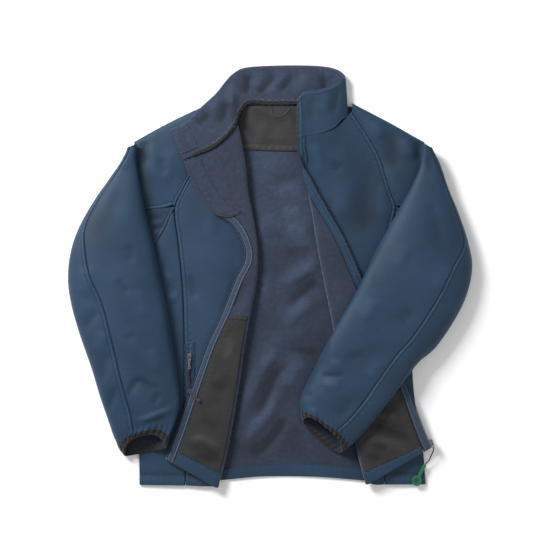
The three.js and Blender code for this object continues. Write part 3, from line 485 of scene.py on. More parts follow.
class Nodes:
    def __init__(self, name, rough, specular=0.5, sheen=0.0, **sockets):
        self.material = bpy.data.materials.new(name)
        self.material.use_nodes = True
        self.tree = self.material.node_tree
        self.shader = self.tree.nodes["Principled BSDF"]
        for socket, amount in {"Roughness": rough, "Specular_IOR_Level": specular, "Sheen_Weight": sheen,
                               **sockets}.items():
            self.shader.inputs[socket.replace("_", " ")].default_value = amount
        MATERIALS[name] = self.material

    def put(self, socket, source):
        if hasattr(source, "is_output"):
            self.tree.links.new(source, socket)
        else:
            socket.default_value = source

    def new(self, kind, inputs=None, **settings):
        node = self.tree.nodes.new("ShaderNode" + kind)
        for key, setting in settings.items():
            setattr(node, key, setting)
        for key, source in (inputs or {}).items():
            self.put(node.inputs[key], source)
        return node

    def coordinate(self, name="UV", scale=(1, 1, 1)):
        place = self.new("TexCoord").outputs[name]
        return self.new("Mapping", {"Vector": place, "Scale": scale}).outputs["Vector"]

    def noise(self, vector, scale, detail=3, rough=0.55, distortion=0.0):
        return self.new("TexNoise", {"Vector": vector, "Scale": scale, "Detail": detail,
                                     "Roughness": rough, "Distortion": distortion}).outputs["Fac"]

    def wave(self, vector, scale, distortion, detail, way="Y"):
        return self.new("TexWave", {"Vector": vector, "Scale": scale, "Distortion": distortion,
                                    "Detail": detail}, bands_direction=way).outputs["Fac"]

    def ramp(self, fac, *stops):
        node = self.new("ValToRGB", {"Fac": fac})
        while len(node.color_ramp.elements) < len(stops):
            node.color_ramp.elements.new(0.5)
        for element, (place, rgb) in zip(node.color_ramp.elements, stops):
            element.position = place
            element.color = (*linear(rgb), 1)
        return node.outputs["Color"]

    def math(self, operation, a, b):
        return self.new("Math", {0: a, 1: b}, operation=operation).outputs[0]

    # The sum of sources, each with its share.
    def blend(self, *parts):
        total = 0.0
        for source, share in parts:
            total = self.math("ADD", total, self.math("MULTIPLY", source, share))
        return total

    def multiply(self, a, b):
        return self.new("Mix", {0: 1.0, 6: a, 7: b}, data_type="RGBA", blend_type="MULTIPLY").outputs[2]

    # Painted shade and light: cloth is painted darker where its shading attribute is above 0, as shade in
    # grooves and between folds, and painted lighter where it is below 0, as highlight on ridges and rolled
    # edges.
    def finish(self, color, height, strength, distance):
        painted_shading_value = self.new("Attribute", attribute_name="painted_shading").outputs["Fac"]
        self.put(self.shader.inputs["Base Color"], self.multiply(color, self.math("SUBTRACT", 1.0, painted_shading_value)))
        bump = self.new("Bump", {"Height": height, "Strength": strength, "Distance": distance})
        self.put(self.shader.inputs["Normal"], bump.outputs["Normal"])
        return bump


# A plain weave's height from two crossed waves, in threads a metre of cloth.
def weave(n, uv, threads):
    return n.blend(*[(n.wave(uv, threads / 20, 1.2, 1, way), 0.5) for way in "XY"])


def shell_material():
    n = Nodes("shell", 0.62, 0.3, 0.12, Sheen_Roughness=0.45, Sheen_Tint=(0.5, 0.72, 1, 1))
    uv = n.coordinate()
    fibre = n.noise(n.coordinate(scale=(1, 0.45, 1)), 900, 2)
    color = n.ramp(n.blend((fibre, 0.55), (n.noise(uv, 9), 0.45)), (0.32, (0.085, 0.158, 0.235)),
                   (0.52, (0.116, 0.212, 0.303)), (0.7, (0.15, 0.265, 0.365)))
    n.finish(color, n.blend((weave(n, uv, 900), 0.6), (fibre, 1)), 0.35, 0.0003)


def fleece_material():
    n = Nodes("fleece", 0.9, 0.15, 0.3, Sheen_Roughness=0.6, Sheen_Tint=(0.8, 0.85, 1, 1))
    uv = n.coordinate()
    nap, clumps, broad = n.noise(uv, 420, 4, 0.7), n.noise(uv, 110, 3, 0.6, 0.6), n.noise(uv, 8, 2)
    color = n.ramp(n.blend((nap, 0.4), (clumps, 0.35), (broad, 0.25)), (0.34, (0.12, 0.155, 0.222)),
                   (0.52, (0.17, 0.21, 0.285)), (0.68, (0.23, 0.265, 0.345)))
    n.finish(color, n.blend((nap, 1), (clumps, 0.9)), 0.55, 0.0008)


def pocketing_material():
    n = Nodes("pocketing", 0.68, 0.25, 0.1)
    uv = n.coordinate()
    slub = n.noise(n.coordinate(scale=(0.06, 1, 1)), 900, 2)
    color = n.ramp(n.blend((slub, 0.5), (n.noise(uv, 12), 0.5)), (0.3, (0.125, 0.12, 0.122)),
                   (0.55, (0.17, 0.165, 0.168)), (0.75, (0.22, 0.212, 0.215)))
    n.finish(color, n.blend((weave(n, uv, 700), 1), (slub, 1)), 0.3, 0.0003)


def binding_material(name, dark, middle, light):
    n = Nodes(name, 0.75, 0.25, 0.2)
    uv = n.coordinate()
    tone = n.blend((n.wave(uv, 60, 1.5, 1), 0.12), (n.noise(uv, 700, 2), 0.88))
    n.finish(n.ramp(tone, (0.3, dark), (0.55, middle), (0.75, light)), tone, 0.5, 0.0004)


# The strip that faces the neck facing's lower edge.
def facing_edge_material():
    n = Nodes("facing_edge", 0.75, 0.25, 0.2)
    uv = n.coordinate()
    tone = n.blend((n.noise(uv, 30, 2), 0.4), (n.noise(uv, 700, 2), 0.6))
    color = n.ramp(tone, (0.3, (0.2, 0.19, 0.185)), (0.55, (0.26, 0.245, 0.24)), (0.75, (0.32, 0.3, 0.29)))
    n.finish(color, tone, 0.4, 0.0004)


# Zip tape, with its woven lines across the width.
def tape_material():
    n = Nodes("tape", 0.7, 0.3, 0.2)
    uv = n.coordinate()
    fibre, rib = n.noise(uv, 800, 2), n.wave(uv, 70, 1, 2)
    across = n.math("MULTIPLY", n.new("SeparateXYZ", {"Vector": uv}).outputs["X"], 1000 / TAPE)
    lines = n.ramp(across, (0, (0.1, 0.13, 0.19)), (0.13, (0.1, 0.13, 0.19)), (0.2, (0.3, 0.37, 0.46)),
                   (0.3, (0.17, 0.23, 0.32)), (0.66, (0.19, 0.26, 0.36)), (0.76, (0.1, 0.12, 0.18)),
                   (0.84, (0.36, 0.42, 0.5)), (1, (0.1, 0.12, 0.18)))
    shade = n.ramp(n.blend((rib, 0.15), (fibre, 0.85)), (0.3, (0.78, 0.78, 0.78)), (0.7, (1, 1, 1)))
    n.finish(n.multiply(lines, shade), n.blend((rib, 1), (fibre, 1)), 0.4, 0.0004)


def metal_material():
    n = Nodes("metal", 0.32, Metallic=1.0)
    wear = n.noise(n.coordinate("Object"), 350, 4, 0.65)
    scratch = n.noise(n.coordinate("Object", (1, 0.08, 1)), 2600, 2)
    color = n.ramp(wear, (0.3, (0.3, 0.31, 0.33)), (0.55, (0.5, 0.51, 0.53)), (0.8, (0.66, 0.67, 0.69)))
    n.put(n.shader.inputs["Roughness"], n.new("MapRange", {
        "Value": wear, "From Min": 0.3, "From Max": 0.7, "To Min": 0.25, "To Max": 0.5}).outputs[0])
    bump = n.finish(color, scratch, 0.15, 0.0001)
    n.put(bump.inputs["Normal"], n.new("Bevel", {"Radius": 0.0004}, samples=4).outputs["Normal"])


def cord_material():
    n = Nodes("cord", 0.75, 0.3, 0.2)
    braid = n.new("TexVoronoi", {"Vector": n.coordinate("Object"), "Scale": 1100}).outputs["Distance"]
    n.finish(n.ramp(braid, (0.1, (0.1, 0.1, 0.115)), (0.6, (0.045, 0.045, 0.055))), braid, 0.8, 0.0003)


# A material of one fine grain with two tones.
def grained(name, rough, specular, sheen, scale, detail, low, high, strength, distance):
    n = Nodes(name, rough, specular, sheen)
    grain = n.noise(n.coordinate("Object"), scale, detail)
    n.finish(n.ramp(grain, low, high), grain, strength, distance)


def rubber_material(name, low, high):
    n = Nodes(name, 0.5, 0.45)
    place = n.coordinate("Object")
    grain = n.noise(place, 900)
    tone = n.blend((grain, 0.3), (n.noise(place, 60), 0.7))
    n.finish(n.ramp(tone, (0.35, low), (0.6, high)), grain, 0.2, 0.0002)


shell_material()
fleece_material()
pocketing_material()
binding_material("edging", (0.16, 0.148, 0.16), (0.21, 0.196, 0.21), (0.27, 0.25, 0.265))
binding_material("neck_tape", (0.09, 0.085, 0.08), (0.125, 0.12, 0.11), (0.17, 0.16, 0.15))
binding_material("binding", (0.088, 0.078, 0.08), (0.128, 0.112, 0.115), (0.168, 0.15, 0.15))
facing_edge_material()
tape_material()
metal_material()
cord_material()
grained("thread", 0.6, 0.4, 0, 1800, 2, (0.35, (0.07, 0.11, 0.18)), (0.65, (0.14, 0.2, 0.29)), 0.4, 0.0002)
grained("teeth", 0.4, 0.5, 0, 500, 3, (0.4, (0.09, 0.12, 0.19)), (0.7, (0.17, 0.22, 0.31)), 0.2, 0.0002)
grained("sleeving", 0.85, 0.2, 0.3, 900, 3, (0.35, (0.14, 0.135, 0.135)), (0.65, (0.25, 0.24, 0.235)), 0.5,
        0.0003)
rubber_material("rubber", (0.07, 0.33, 0.21), (0.1, 0.4, 0.26))
rubber_material("rubber_dark", (0.06, 0.24, 0.17), (0.09, 0.3, 0.21))


def add_mesh(name, points, faces, materials, body, nodes=(), face_materials=None, uv=None,
             painted_shading=None):
    mesh = bpy.data.meshes.new(name)
    mesh.from_pydata(to_frame(points).tolist(), [], [list(map(int, face)) for face in faces])
    for material in materials:
        mesh.materials.append(MATERIALS[material])
    if face_materials is not None:
        mesh.polygons.foreach_set("material_index", np.asarray(face_materials, np.int32))
    if uv is not None:
        layer = mesh.uv_layers.new(name="UVMap")
        loops = np.empty(len(mesh.loops), np.int32)
        mesh.loops.foreach_get("vertex_index", loops)
        layer.data.foreach_set("uv", (np.asarray(uv)[loops] * MM).astype(np.float32).ravel())
    # The painted shade and light of each point, as an attribute that the cloth materials read.
    if painted_shading is not None:
        mesh.attributes.new("painted_shading", "FLOAT", "POINT").data.foreach_set("value", painted_shading.astype(np.float32))
    mesh.polygons.foreach_set("use_smooth", np.ones(len(mesh.polygons), bool))
    mesh.validate()
    piece = bpy.data.objects.new(name, mesh)
    bpy.context.scene.collection.objects.link(piece)
    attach(piece, body)
    if nodes:
        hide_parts(*nodes)
    return piece


# How far painted light may lighten the cloth and painted shade may darken it.
PAINTED_SHADING_LIMITS = -0.35, 0.72
RIM_HEIGHT = 0.15
CUT = {}


# A closed wall of cloth on a middle grid: outer face, inner face and round edges. Materials are
# those of the outer face, of the inner one and of what paint picks. The grid may wrap round.
def wall(name, middle, normal, high, low, materials, nodes, wraps=False, paint=None, painted_shading=None,
         inside=None):
    rows, columns = middle.shape[:2]
    edges = edge_distances(middle)
    ways = ("first", "last") if wraps else ("left", "right", "first", "last")
    depth, centre = (high - low) / 2, (high + low) / 2
    share = np.clip(np.minimum.reduce([edges[k] for k in ways]) / max(depth, 0.3), 0, 1)
    swell = np.sqrt(1 - (1 - share) ** 2) * (1 - RIM_HEIGHT) + RIM_HEIGHT
    outer = middle + normal * (centre + depth * swell)[..., None]
    inner = middle + normal * (centre - depth * swell)[..., None]
    points = np.concatenate([outer.reshape(-1, 3), inner.reshape(-1, 3)])
    shift = rows * columns
    number = np.arange(shift).reshape(rows, columns)
    if wraps:
        number = np.concatenate([number, number[:, :1]], axis=1)
    face = np.stack([number[:-1, :-1], number[:-1, 1:], number[1:, 1:], number[1:, :-1]], axis=-1)
    face = face.reshape(-1, 4)
    paths = [number[0], number[-1][::-1]] + ([] if wraps else [number[::-1, 0], number[:, -1]])
    rims = np.concatenate([np.stack([path[1:], path[:-1], path[:-1] + shift, path[1:] + shift], axis=-1)
                           for path in paths])
    faces = np.concatenate([face, face[:, ::-1] + shift, rims])
    if signed_volume(points, faces) < 0:
        faces = faces[:, ::-1]
    outer_kinds, inner_kinds = np.zeros(len(face)), np.full(len(face), len(materials) > 1)
    if paint is not None:
        outer_kinds = paint((middle[:-1, :-1] + middle[1:, 1:]) / 2, edges["left"][:-1, 1:]).ravel()
        inner_kinds = outer_kinds if len(materials) < 3 else inner_kinds
    kinds = np.concatenate([outer_kinds, inner_kinds, np.zeros(len(rims))])
    uv = np.tile(np.stack([edges["left"], edges["first"]], axis=-1).reshape(-1, 2), (2, 1))
    # Painted shade and light for both faces; inside, where given, paints the whole inner face one even
    # shade.
    if painted_shading is not None:
        painted_shading = np.clip(painted_shading, *PAINTED_SHADING_LIMITS).ravel()
        painted_shading = np.concatenate([painted_shading, painted_shading if inside is None else np.full(painted_shading.size, inside)])
    add_mesh(name, points, faces, materials, "garment", nodes, kinds, uv, painted_shading)
    cells = np.cross(middle[1:, :-1] - middle[:-1, :-1], middle[:-1, 1:] - middle[:-1, :-1])
    CUT[name] = (float(edges["left"][:, -1].max()) * MM, float(edges["first"][-1].max()) * MM,
                 float(np.linalg.norm(cells, axis=-1).sum()) * MM ** 2)


def signed_volume(points, faces):
    a, b, c, d = (points[faces[:, k]] - points.mean(axis=0) for k in range(4))
    return float(np.sum(a * np.cross(b, c)) + np.sum(a * np.cross(c, d)))


# Faces of a closed tube through rings of points, each a row.
def ring_faces(rows, columns):
    faces = [[r * columns + k, r * columns + (k + 1) % columns, (r + 1) * columns + (k + 1) % columns,
              (r + 1) * columns + k] for r in range(rows - 1) for k in range(columns)]
    return faces + [list(range(columns))[::-1], [(rows - 1) * columns + k for k in range(columns)]]


# Many small tubes in one mesh: points in rows, one for each, with its rings one after another.
def many_tubes(points, columns):
    count, size = points.shape[:2]
    faces = ring_faces(size // columns, columns)
    return points.reshape(-1, 3), [[i + size * k for i in face] for k in range(count) for face in faces]


# Stitches: short threads laid end to end along a path, on a face of the cloth.
STITCHES = {}
STITCH = {"pitch": 3.3, "long": 2.5, "thick": 0.42, "sides": 5, "lift": 0.05}


def stitch(group, path, normal):
    run = run_of(path)
    count = int(run[-1] / STITCH["pitch"])
    if count < 1:
        return
    middle = (np.arange(count) + 0.5) * run[-1] / count
    start = read_along(middle - STITCH["long"] / 2, run, path)
    end = read_along(middle + STITCH["long"] / 2, run, path)
    up = unit(read_along(middle, run, normal))
    STITCHES.setdefault("stitches_" + group, []).append((start, end, up))


def build_stitches():
    for group, runs in STITCHES.items():
        start, end, up = (np.concatenate([run[k] for run in runs]) for k in range(3))
        side = unit(np.cross(up, unit(end - start)))
        rings = []
        for share, thick in ((0.0, 0.3), (0.2, 1.0), (0.8, 1.0), (1.0, 0.3)):
            centre = start + (end - start) * share - up * STITCH["thick"] * (1 - thick) * 0.6
            for k in range(STITCH["sides"]):
                angle = 2 * math.pi * k / STITCH["sides"]
                out = side * math.cos(angle) + up * math.sin(angle)
                rings.append(centre + out * STITCH["thick"] * thick)
        points, faces = many_tubes(np.stack(rings, axis=1), STITCH["sides"])
        add_mesh(group, points, faces, ["thread"], "garment")


# The path on a grid at a distance from one of its edges.
def path_at(points, normal, edge, distance):
    d = edge_distances(points)[edge]
    if edge in ("first", "last"):
        points, normal, d = (np.swapaxes(v, 0, 1) for v in (points, normal, d))
    if edge in ("right", "last"):
        points, normal, d = points[:, ::-1], normal[:, ::-1], d[:, ::-1]
    return [np.stack([read_along(distance, row, v) for row, v in zip(d, values)])
            for values in (points, normal)]


# Stitches along lines beside a grid's edge, on the face that lies at an offset from the middle.
def stitch_edge(group, points, normal, edge, lines, offset, face=1, ends=1):
    for place in lines:
        path, up = path_at(points, normal, edge, place)
        path, up = path[ends:-ends], up[ends:-ends] * face
        stitch(group, path + up * (offset * face + STITCH["lift"]), up)


# The relief of a seam at an edge: a groove at the edge where deep is above 0, then for each thread
# line a soft ridge up to it, a dip along it and puckers beside it.
PUCKER = {"pitch": 11, "high": 0.25}
SEAM_SHADE = 0.5
FOLD_SHADE = 0.075


def seam_relief(edges, edge, deep, lines):
    d = edges[edge]
    along = edges["first" if edge in ("left", "right") else "left"]
    wave = np.sin(along * 2 * math.pi / PUCKER["pitch"] + 2 * np.sin(along / 19))
    rise = -deep * np.exp(-(d / 1.5) ** 2)
    for place in lines:
        wide = 0.9 if place < NEAR[-1] else 2.6
        rise += (0.5 + PUCKER["high"] * wave) * np.exp(-((d - 0.52 * place) / (0.32 * place)) ** 2)
        rise -= 0.65 * np.exp(-((d - place) / wide) ** 2)
        rise -= 0.8 * PUCKER["high"] * wave * np.exp(-((d - place - 4) / 3.5) ** 2)
    return rise


# Dresses a grid as a piece: folds and seams move the middle, stitches follow the seams. face is
# +1 where the outer face is seen and -1 where the inner one is. seams maps an edge to its groove's
# depth and the distances of its thread lines.
def dress(name, cloth, points, face, materials, rise=None, seams=None, high=HALF, low=-HALF,
          nodes=None, group=None, paint=None, shade=0.0):
    edges = edge_distances(points)
    if rise is not None:
        points = points + UP * rise[..., None]
    seams = seams or {}
    relief = np.zeros(points.shape[:2])
    for edge, (deep, lines) in seams.items():
        relief += seam_relief(edges, edge, deep, lines)
    points = points + normals_of(points) * cloth.side * (relief * face)[..., None]
    normal = normals_of(points) * cloth.side
    # Painted shade in the seams' grooves and the folds' troughs, painted highlight on their ridges; shade
    # adds one even painted shade, and the shell also takes the broad painted shade.
    painted_shading = -relief * SEAM_SHADE + shade
    if materials[0] == "shell":
        painted_shading = painted_shading + creases(*plan(points), BROAD_SHADE)
    if rise is not None:
        painted_shading = painted_shading - rise * FOLD_SHADE
    wall(name, points, normal, high, low, materials, [name] if nodes is None else nodes,
         paint=paint, painted_shading=painted_shading)
    for edge, (_, lines) in seams.items():
        stitch_edge(group, points, normal, edge, lines, high if face > 0 else low, face)


# Back panel, flat on the table but for its soft folds.
BACK_FOLDS = table("""
   x0   y0  x1   y1 high wide
   66   93 -12   89  4.0   17
   84   20  26  -14  4.2   15
   90  -42  36  -80  4.0   15
   60 -108  20 -114  3.0   13
   13 -127 -23 -172  5.0   15
  -23 -172 -45 -240  5.0   14
  -45 -240 -60 -288  4.0   13
   25 -202  -3 -252  4.5   13
   -3 -252 -38 -298  4.0   13
   48 -262  16 -316  3.5   16""")


def back_height(x, y):
    rise = np.zeros_like(x)
    for x0, y0, x1, y1, high, wide in zip(*BACK_FOLDS.values()):
        run = np.array([x1 - x0, y1 - y0])
        share = np.clip(((x - x0) * run[0] + (y - y0) * run[1]) / (run @ run), 0, 1)
        away = np.hypot(x - x0 - share * run[0], y - y0 - share * run[1]) / wide
        rise = np.maximum(rise, high * np.exp(-away ** 2))
    return np.where(rise < 0.25, 0, rise - 0.25)


def patch(rows):
    return Cloth(lambda at: np.stack([spot(rows, k, at) for k in "lcr"], axis=1), -1)


def whole(cloth, first, last, step, low=0.0, high=2.0):
    return grid_of(cloth, low, high, first, last, step)


# A piece flat on the back, with its own folds and shade.
def lay_on_back(name, rows, low, high, materials, step, seams, group=None, rise=None,
                shade=FOLD_SHADE, tone=None):
    points, _, _ = whole(patch(rows), 0, rows["at"][-1], step)
    points[..., 2] = HALF + back_height(*plan(points))
    # tone, where given, is a painted shade laid by place in plan; folds and seams add painted shade in
    # troughs and grooves and painted highlight on ridges.
    painted_shading = np.zeros(points.shape[:2]) if tone is None else tone(*plan(points))
    if rise is not None:
        lift = rise(*plan(points))
        painted_shading -= shade * lift
        points[..., 2] += np.maximum(lift, HALF - points[..., 2])
    edges = edge_distances(points)
    normal = np.broadcast_to(UP, points.shape)
    for edge, (deep, lines) in seams.items():
        relief = seam_relief(edges, edge, deep, lines)
        painted_shading -= SEAM_SHADE * relief
        points[..., 2] += np.maximum(relief, -0.2)
        stitch_edge(group, points, normal, edge, lines, high)
    wall(name, points, normal, high, low, materials, [name], painted_shading=painted_shading)


# Finer folds of the open back between the fronts.
BACK_CREASES = folds("""
  x y high wide
  -6 178 -1.2 6, 64 193 -1.2 6
  0 150 1.6 9, 46 163 2.2 10, 82 168 1.2 9
  18 124 1.4 9, 62 116 1.8 10
  24 90 2 8, 72 78 1.6 9
  21 45 -2 7, 87 52 -2 7
  92 20 2.4 8, 60 6 2.6 8, 21 -18 1.6 8
  96 2 -3 7, 50 -36 -3.5 7, 31 -64 -3 7
  80 -44 2 9, 52 -66 2.4 9, 30 -96 1.6 8
  23 -134 -1.6 5, 97 -139 -1.6 5
  21 -131 2 7, -7 -166 2.6 8, -23 -202 2.4 8, -47 -242 1.8 8
  45 -148 -3 7, 29 -162 -3.5 7, 7 -182 -3.5 8, -3 -202 -3.5 8, -9 -226 -3 8, -21 -252 -3 7, -43 -270 -2.5 7
  25 -202 1.8 8, 13 -222 2.4 8, -3 -258 2.4 8, -33 -286 2 8, -65 -322 1.2 8
  29 -248 -3 7, 21 -272 -3.5 7, 5 -298 -3.5 7, -17 -318 -3 7, -43 -340 -2 7
  70 -150 1.6 10, 40 -182 2.2 10, 34 -214 1.2 9
  96 -208 1.4 10, 70 -240 2.2 11, 58 -290 1.4 10
  108 -262 1.2 9, 92 -318 1.6 10
  -14 14 1.8 9, -10 -24 2.2 10, -20 -64 1.4 9""")


BROADER = np.array([1, 1, 1, 1.45])
HIGHER = 1.3
OPEN = {"margin": 4, "fade": 14, "top": 232, "top_fade": 24, "foot": -345, "foot_fade": 20}
# Painted shade of the back's inside, darker toward the hem.
BACK_PAINTED_SHADE = {"dark": 0.28, "from": 190, "over": 500}


# How far places lie inside a limit, from 0 at it to 1.
def fade_in(distance, over):
    return np.clip(distance / over, 0, 1)


# Folds only where the back lies open, and no ridges under the left sleeve.
def back_rise(x, y):
    right = np.interp(y, FRONT_R["fy"][::-1], FRONT_R["fx"][::-1])
    left = np.interp(y, FRONT_L["fy"][::-1], FRONT_L["fx"][::-1])
    inside = fade_in(x - right - OPEN["margin"], OPEN["fade"])
    inside *= fade_in(left - x - OPEN["margin"], OPEN["fade"])
    inside *= fade_in(OPEN["top"] - y, OPEN["top_fade"]) * fade_in(y - OPEN["foot"], OPEN["foot_fade"])
    folded = creases(x, y, [line * BROADER for line in BACK_CREASES])
    rise = inside * (HIGHER * folded + ripple(x, y, 3, 120, 0.8))
    sleeve = np.interp(y, ARM_L["iy"][::-1], ARM_L["ix"][::-1])
    return np.where(rise > 0, rise * fade_in(sleeve - OPEN["margin"] - x, OPEN["fade"]), rise)


# Painted shade on the inside, darker toward the hem.
def back_painted_shade(x, y):
    return BACK_PAINTED_SHADE["dark"] * fade_in(BACK_PAINTED_SHADE["from"] - y, BACK_PAINTED_SHADE["over"])


def build_back():
    lay_on_back("back_panel", BACK, -HALF, HALF, ["fleece", "shell"], 4, {}, rise=back_rise,
                shade=0.17, tone=back_painted_shade)
    top = OVER + LINING
    lay_on_back("back_neck_facing", FACING, OVER, top, ["pocketing"], 3,
                {"last": (0.6, (12.5,))}, "facing",
                rise=lambda x, y: 1.3 + creases(x, y, FACING_CREASES), shade=0.22)
    lay_on_back("back_facing_binding", FACING_EDGE, top + GAP, top + GAP + LINING, ["facing_edge"],
                3, {"first": (0, (1.2,)), "last": (0, (1.2,))}, "facing")
    lay_on_back("hem_facing_back", HEM_BACK, OVER, OVER + BINDING, ["shell"], 4,
                {"first": (0, (1.5,))}, "hem_back")


FACING_CREASES = folds("""
  x y high wide
  -50 290 -1 6, -34 268 -1.3 7, -20 248 -1 6
  -34 306 -1 5, -6 294 -1.2 5, 20 284 -1.2 5, 44 292 -0.8 5
  -48 306 -1 9, -44 262 -1.2 9
  -16 280 0.8 8, -8 256 1 9
  10 272 0.8 9, 30 254 0.8 9
  36 306 -1 5, 48 292 -1.2 6, 60 280 -0.8 5
  -24 252 -0.8 5, 20 246 -1 5, 56 250 -0.8 5
  84 296 -0.8 7, 92 262 -1 7""")
FACING = table("""
  at  lx  ly cx  cy  rx  ry
   0 -52 314 40 313 112 311
   1 -56 275 36 272 124 275
   2 -52 234 32 231 120 234""")
FACING_EDGE = table("""
  at  lx  ly cx  cy  rx  ry
   0 -51 243 32 240 119 243
   1 -52 235 32 232 119 235""")
HEM_BACK = table("""
  at   lx   ly cx     cy  rx   ry
   0 -100 -359 24   -345 192 -357
   1 -100 -378 24 -368.5 192 -379""")

# Fronts: from the zip edge, over the flap, round the fold line and back to the seam.
TURN_STEPS = 4
FLAP_END = 2
BASE_START = FLAP_END + TURN_STEPS
SEAM = BASE_START + 2


def front_section(rows, to_side):
    def section(at):
        out = quarter_turn(heading(rows, "f", at)) * to_side
        turn = np.radians(value(rows, "turn", at))
        start = spot(rows, "f", at) - out * (FOLD_RADIUS * np.sin(np.minimum(turn, math.pi / 2)))[:, None]
        arc = []
        for k in range(TURN_STEPS, -1, -1):
            angle = turn * k / TURN_STEPS
            p = start + out * (FOLD_RADIUS * np.sin(angle))[:, None]
            p[:, 2] = start[:, 2] + FOLD_RADIUS * (1 - np.cos(angle))
            arc.append(p)
        return np.stack([spot(rows, "z", at), spot(rows, "g", at), *arc, spot(rows, "m", at),
                         spot(rows, "a", at)], axis=1)
    return section


FRONTS = {
    "r": {"rows": FRONT_R, "sides": SIDE_R, "cloth": Cloth(front_section(FRONT_R, 1), 1),
          "junction": 4, "slack": 1, "hem": 12.57, "bag": 8.05, "teeth_end": 0.13},
    "l": {"rows": FRONT_L, "sides": SIDE_L, "cloth": Cloth(front_section(FRONT_L, -1), -1),
          "junction": 5, "slack": 3.2, "hem": 11.64, "bag": 8.7, "teeth_end": 0.54},
}
SIDE_GAP = 0.5
HEM_LINE = 20.0
GUSSET_GAP = 1.9

BASE_CREASES = {
    "r": folds("""
  x y high wide
  -146 4 -1.8 7, -142 -16 -2.2 8, -134 -44 -1.6 7
  -110 160 1.6 12, -104 120 1.4 12, -112 60 1 10
  -70 40 -1.2 10, -62 -20 -1.6 10, -74 -84 -1.2 10
  -128 -210 0.9 10, -118 -262 1.2 12, -124 -330 0.8 10"""),
    "l": folds("""
  x y high wide
  190 236 -2 22, 180 197 -3 28, 170 152 -4 30, 172 106 -4 30, 182 56 -3 26
  147 190 1.4 18, 141 145 2.2 20, 133 100 1.6 18
  84 250 2.2 9, 91 214 2.4 10, 98 180 1.4 10
  128 210 -2 11, 122 190 -2 11
  112 150 -1.4 9, 112 110 -1.8 9, 118 66 -1.2 9
  208 176 2 10, 212 140 2 10, 209 98 1.6 9"""),
}
FLAP_CREASES = {
    "r": folds("""
  x y high wide
  -36 -2 -2 7, -50 -30 -2.6 8, -69 -66 -2 7
  -40 -40 1.8 7, -60 -84 1.8 8
  -104 176 1.6 11, -76 134 1.6 11
  -62 -118 1.2 9, -84 -160 1.4 9
  -72 -172 -1.2 8, -100 -214 -1.4 9
  -154 -318 -2 7, -130 -312 -3 7, -110 -319 -3 9, -84 -346 -2 7
  -150 -300 1.4 8, -118 -300 2 8, -84 -324 1.2 8
  -146 -332 -1.6 5, -122 -330 -2.4 7, -100 -344 -1.6 5
  -130 -262 -1.4 9, -92 -278 -1.6 9
  -112 -196 -1.4 9, -76 -206 -1.4 9"""),
    "l": folds("""
  x y high wide
  172 -268 -2.4 7, 219 -283 -3.2 7, 268 -301 -2.4 7
  174 -334 -2 5, 187 -328 -3 7, 206 -336 -2 5
  184 -246 1.4 8, 238 -262 1.8 9
  170 -298 1.4 8, 214 -304 2 8, 256 -316 1.2 8
  120 0 1.2 10, 140 -60 1.4 10
  176 -120 -1.2 8, 206 -172 -1.6 9
  196 -190 1.2 9, 230 -226 1.4 9
  188 -263 -1.8 7, 256 -281 -1.8 7
  182 -316 -2 5, 199 -311 -3 7, 219 -318 -2 5
  186 -240 -1.6 7, 226 -246 -1.6 7"""),
}

# The zip band across its width, from the teeth: a groove beside them, a flat, a thin groove and
# a raised edge.
BAND = np.array([(0, -0.3), (1.2, -0.7), (2.6, 0.15), (6, 0.3), (9.4, 0.15), (10.1, -0.45), (10.9, 0.35),
                 (12.2, 0.6), (13.5, 0.1)])
EDGE_BAND = np.array([(0, 0.3), (1.8, 0.4), (3.0, -0.5), (4.0, -0.5), (5.4, 0.3), (8.6, 0.4), (10.2, -0.5),
                      (11.8, 0.3), (13.5, 0.1)])
BAND_FROM = {"r": 200, "l": -36}
TAPE_INNER = {"r": "fleece", "l": "shell"}
RIPPLE_SEEDS = {"r": {"front": 11, "bag": 14, "sleeve": 31}, "l": {"front": 12, "bag": 15, "sleeve": 32}}
BAG_FROM = 19


def build_front(hand, front, cloth, last):
    edge = TEETH + TAPE + 2 * GAP * front["slack"]
    points, s, _ = grid_of(cloth, cloth.wide(edge), SEAM - 0.004, 0, last, 3.6)
    flap = 1 / (1 + np.exp((s - (FLAP_END + TURN_STEPS / 2)) * 3))
    x, y = plan(points)
    rise = creases(x, y, FLAP_CREASES[hand]) * flap + creases(x, y, BASE_CREASES[hand]) * (1 - flap)
    rise += ripple(x, y, RIPPLE_SEEDS[hand]["front"], 120, 0.35)
    dress(f"front_centre_{hand}", cloth, points, 1, ["shell", "fleece"], rise,
          {"right": (1.3, (7.0,)), "last": (0, (HEM_LINE,))}, group=f"front_{hand}", shade=0.2 * flap)


def build_zip_tape(hand, front, cloth, last):
    points, _, _ = grid_of(cloth, cloth.wide(TEETH - 0.8), cloth.wide(TEETH + front["slack"] * GAP + TAPE),
                           0, last, 3.0)
    across = edge_distances(points)["left"]
    band = np.where(points[..., 1] > BAND_FROM[hand], np.interp(across, *EDGE_BAND.T),
                    np.interp(across, *BAND.T))
    dress(f"zip_tape_{hand}", cloth, points, -1, ["tape", TAPE_INNER[hand]], band,
          {"right": (0, (1.9,))}, TAPE_HALF, -TAPE_HALF, group=f"zip_{hand}",
          paint=lambda centre, left: centre[..., 1] > BAND_FROM[hand])


def build_hem_facing(hand, front, cloth, last):
    points, _, _ = grid_of(cloth, cloth.wide(TEETH + TAPE + 2), FLAP_END + 1, front["hem"], last - 0.02, 3.0)
    dress(f"hem_facing_{hand}", cloth, points, -1, ["shell"], None, {"first": (0, (1.5,))},
          UNDER, UNDER - BINDING, group=f"hem_{hand}")


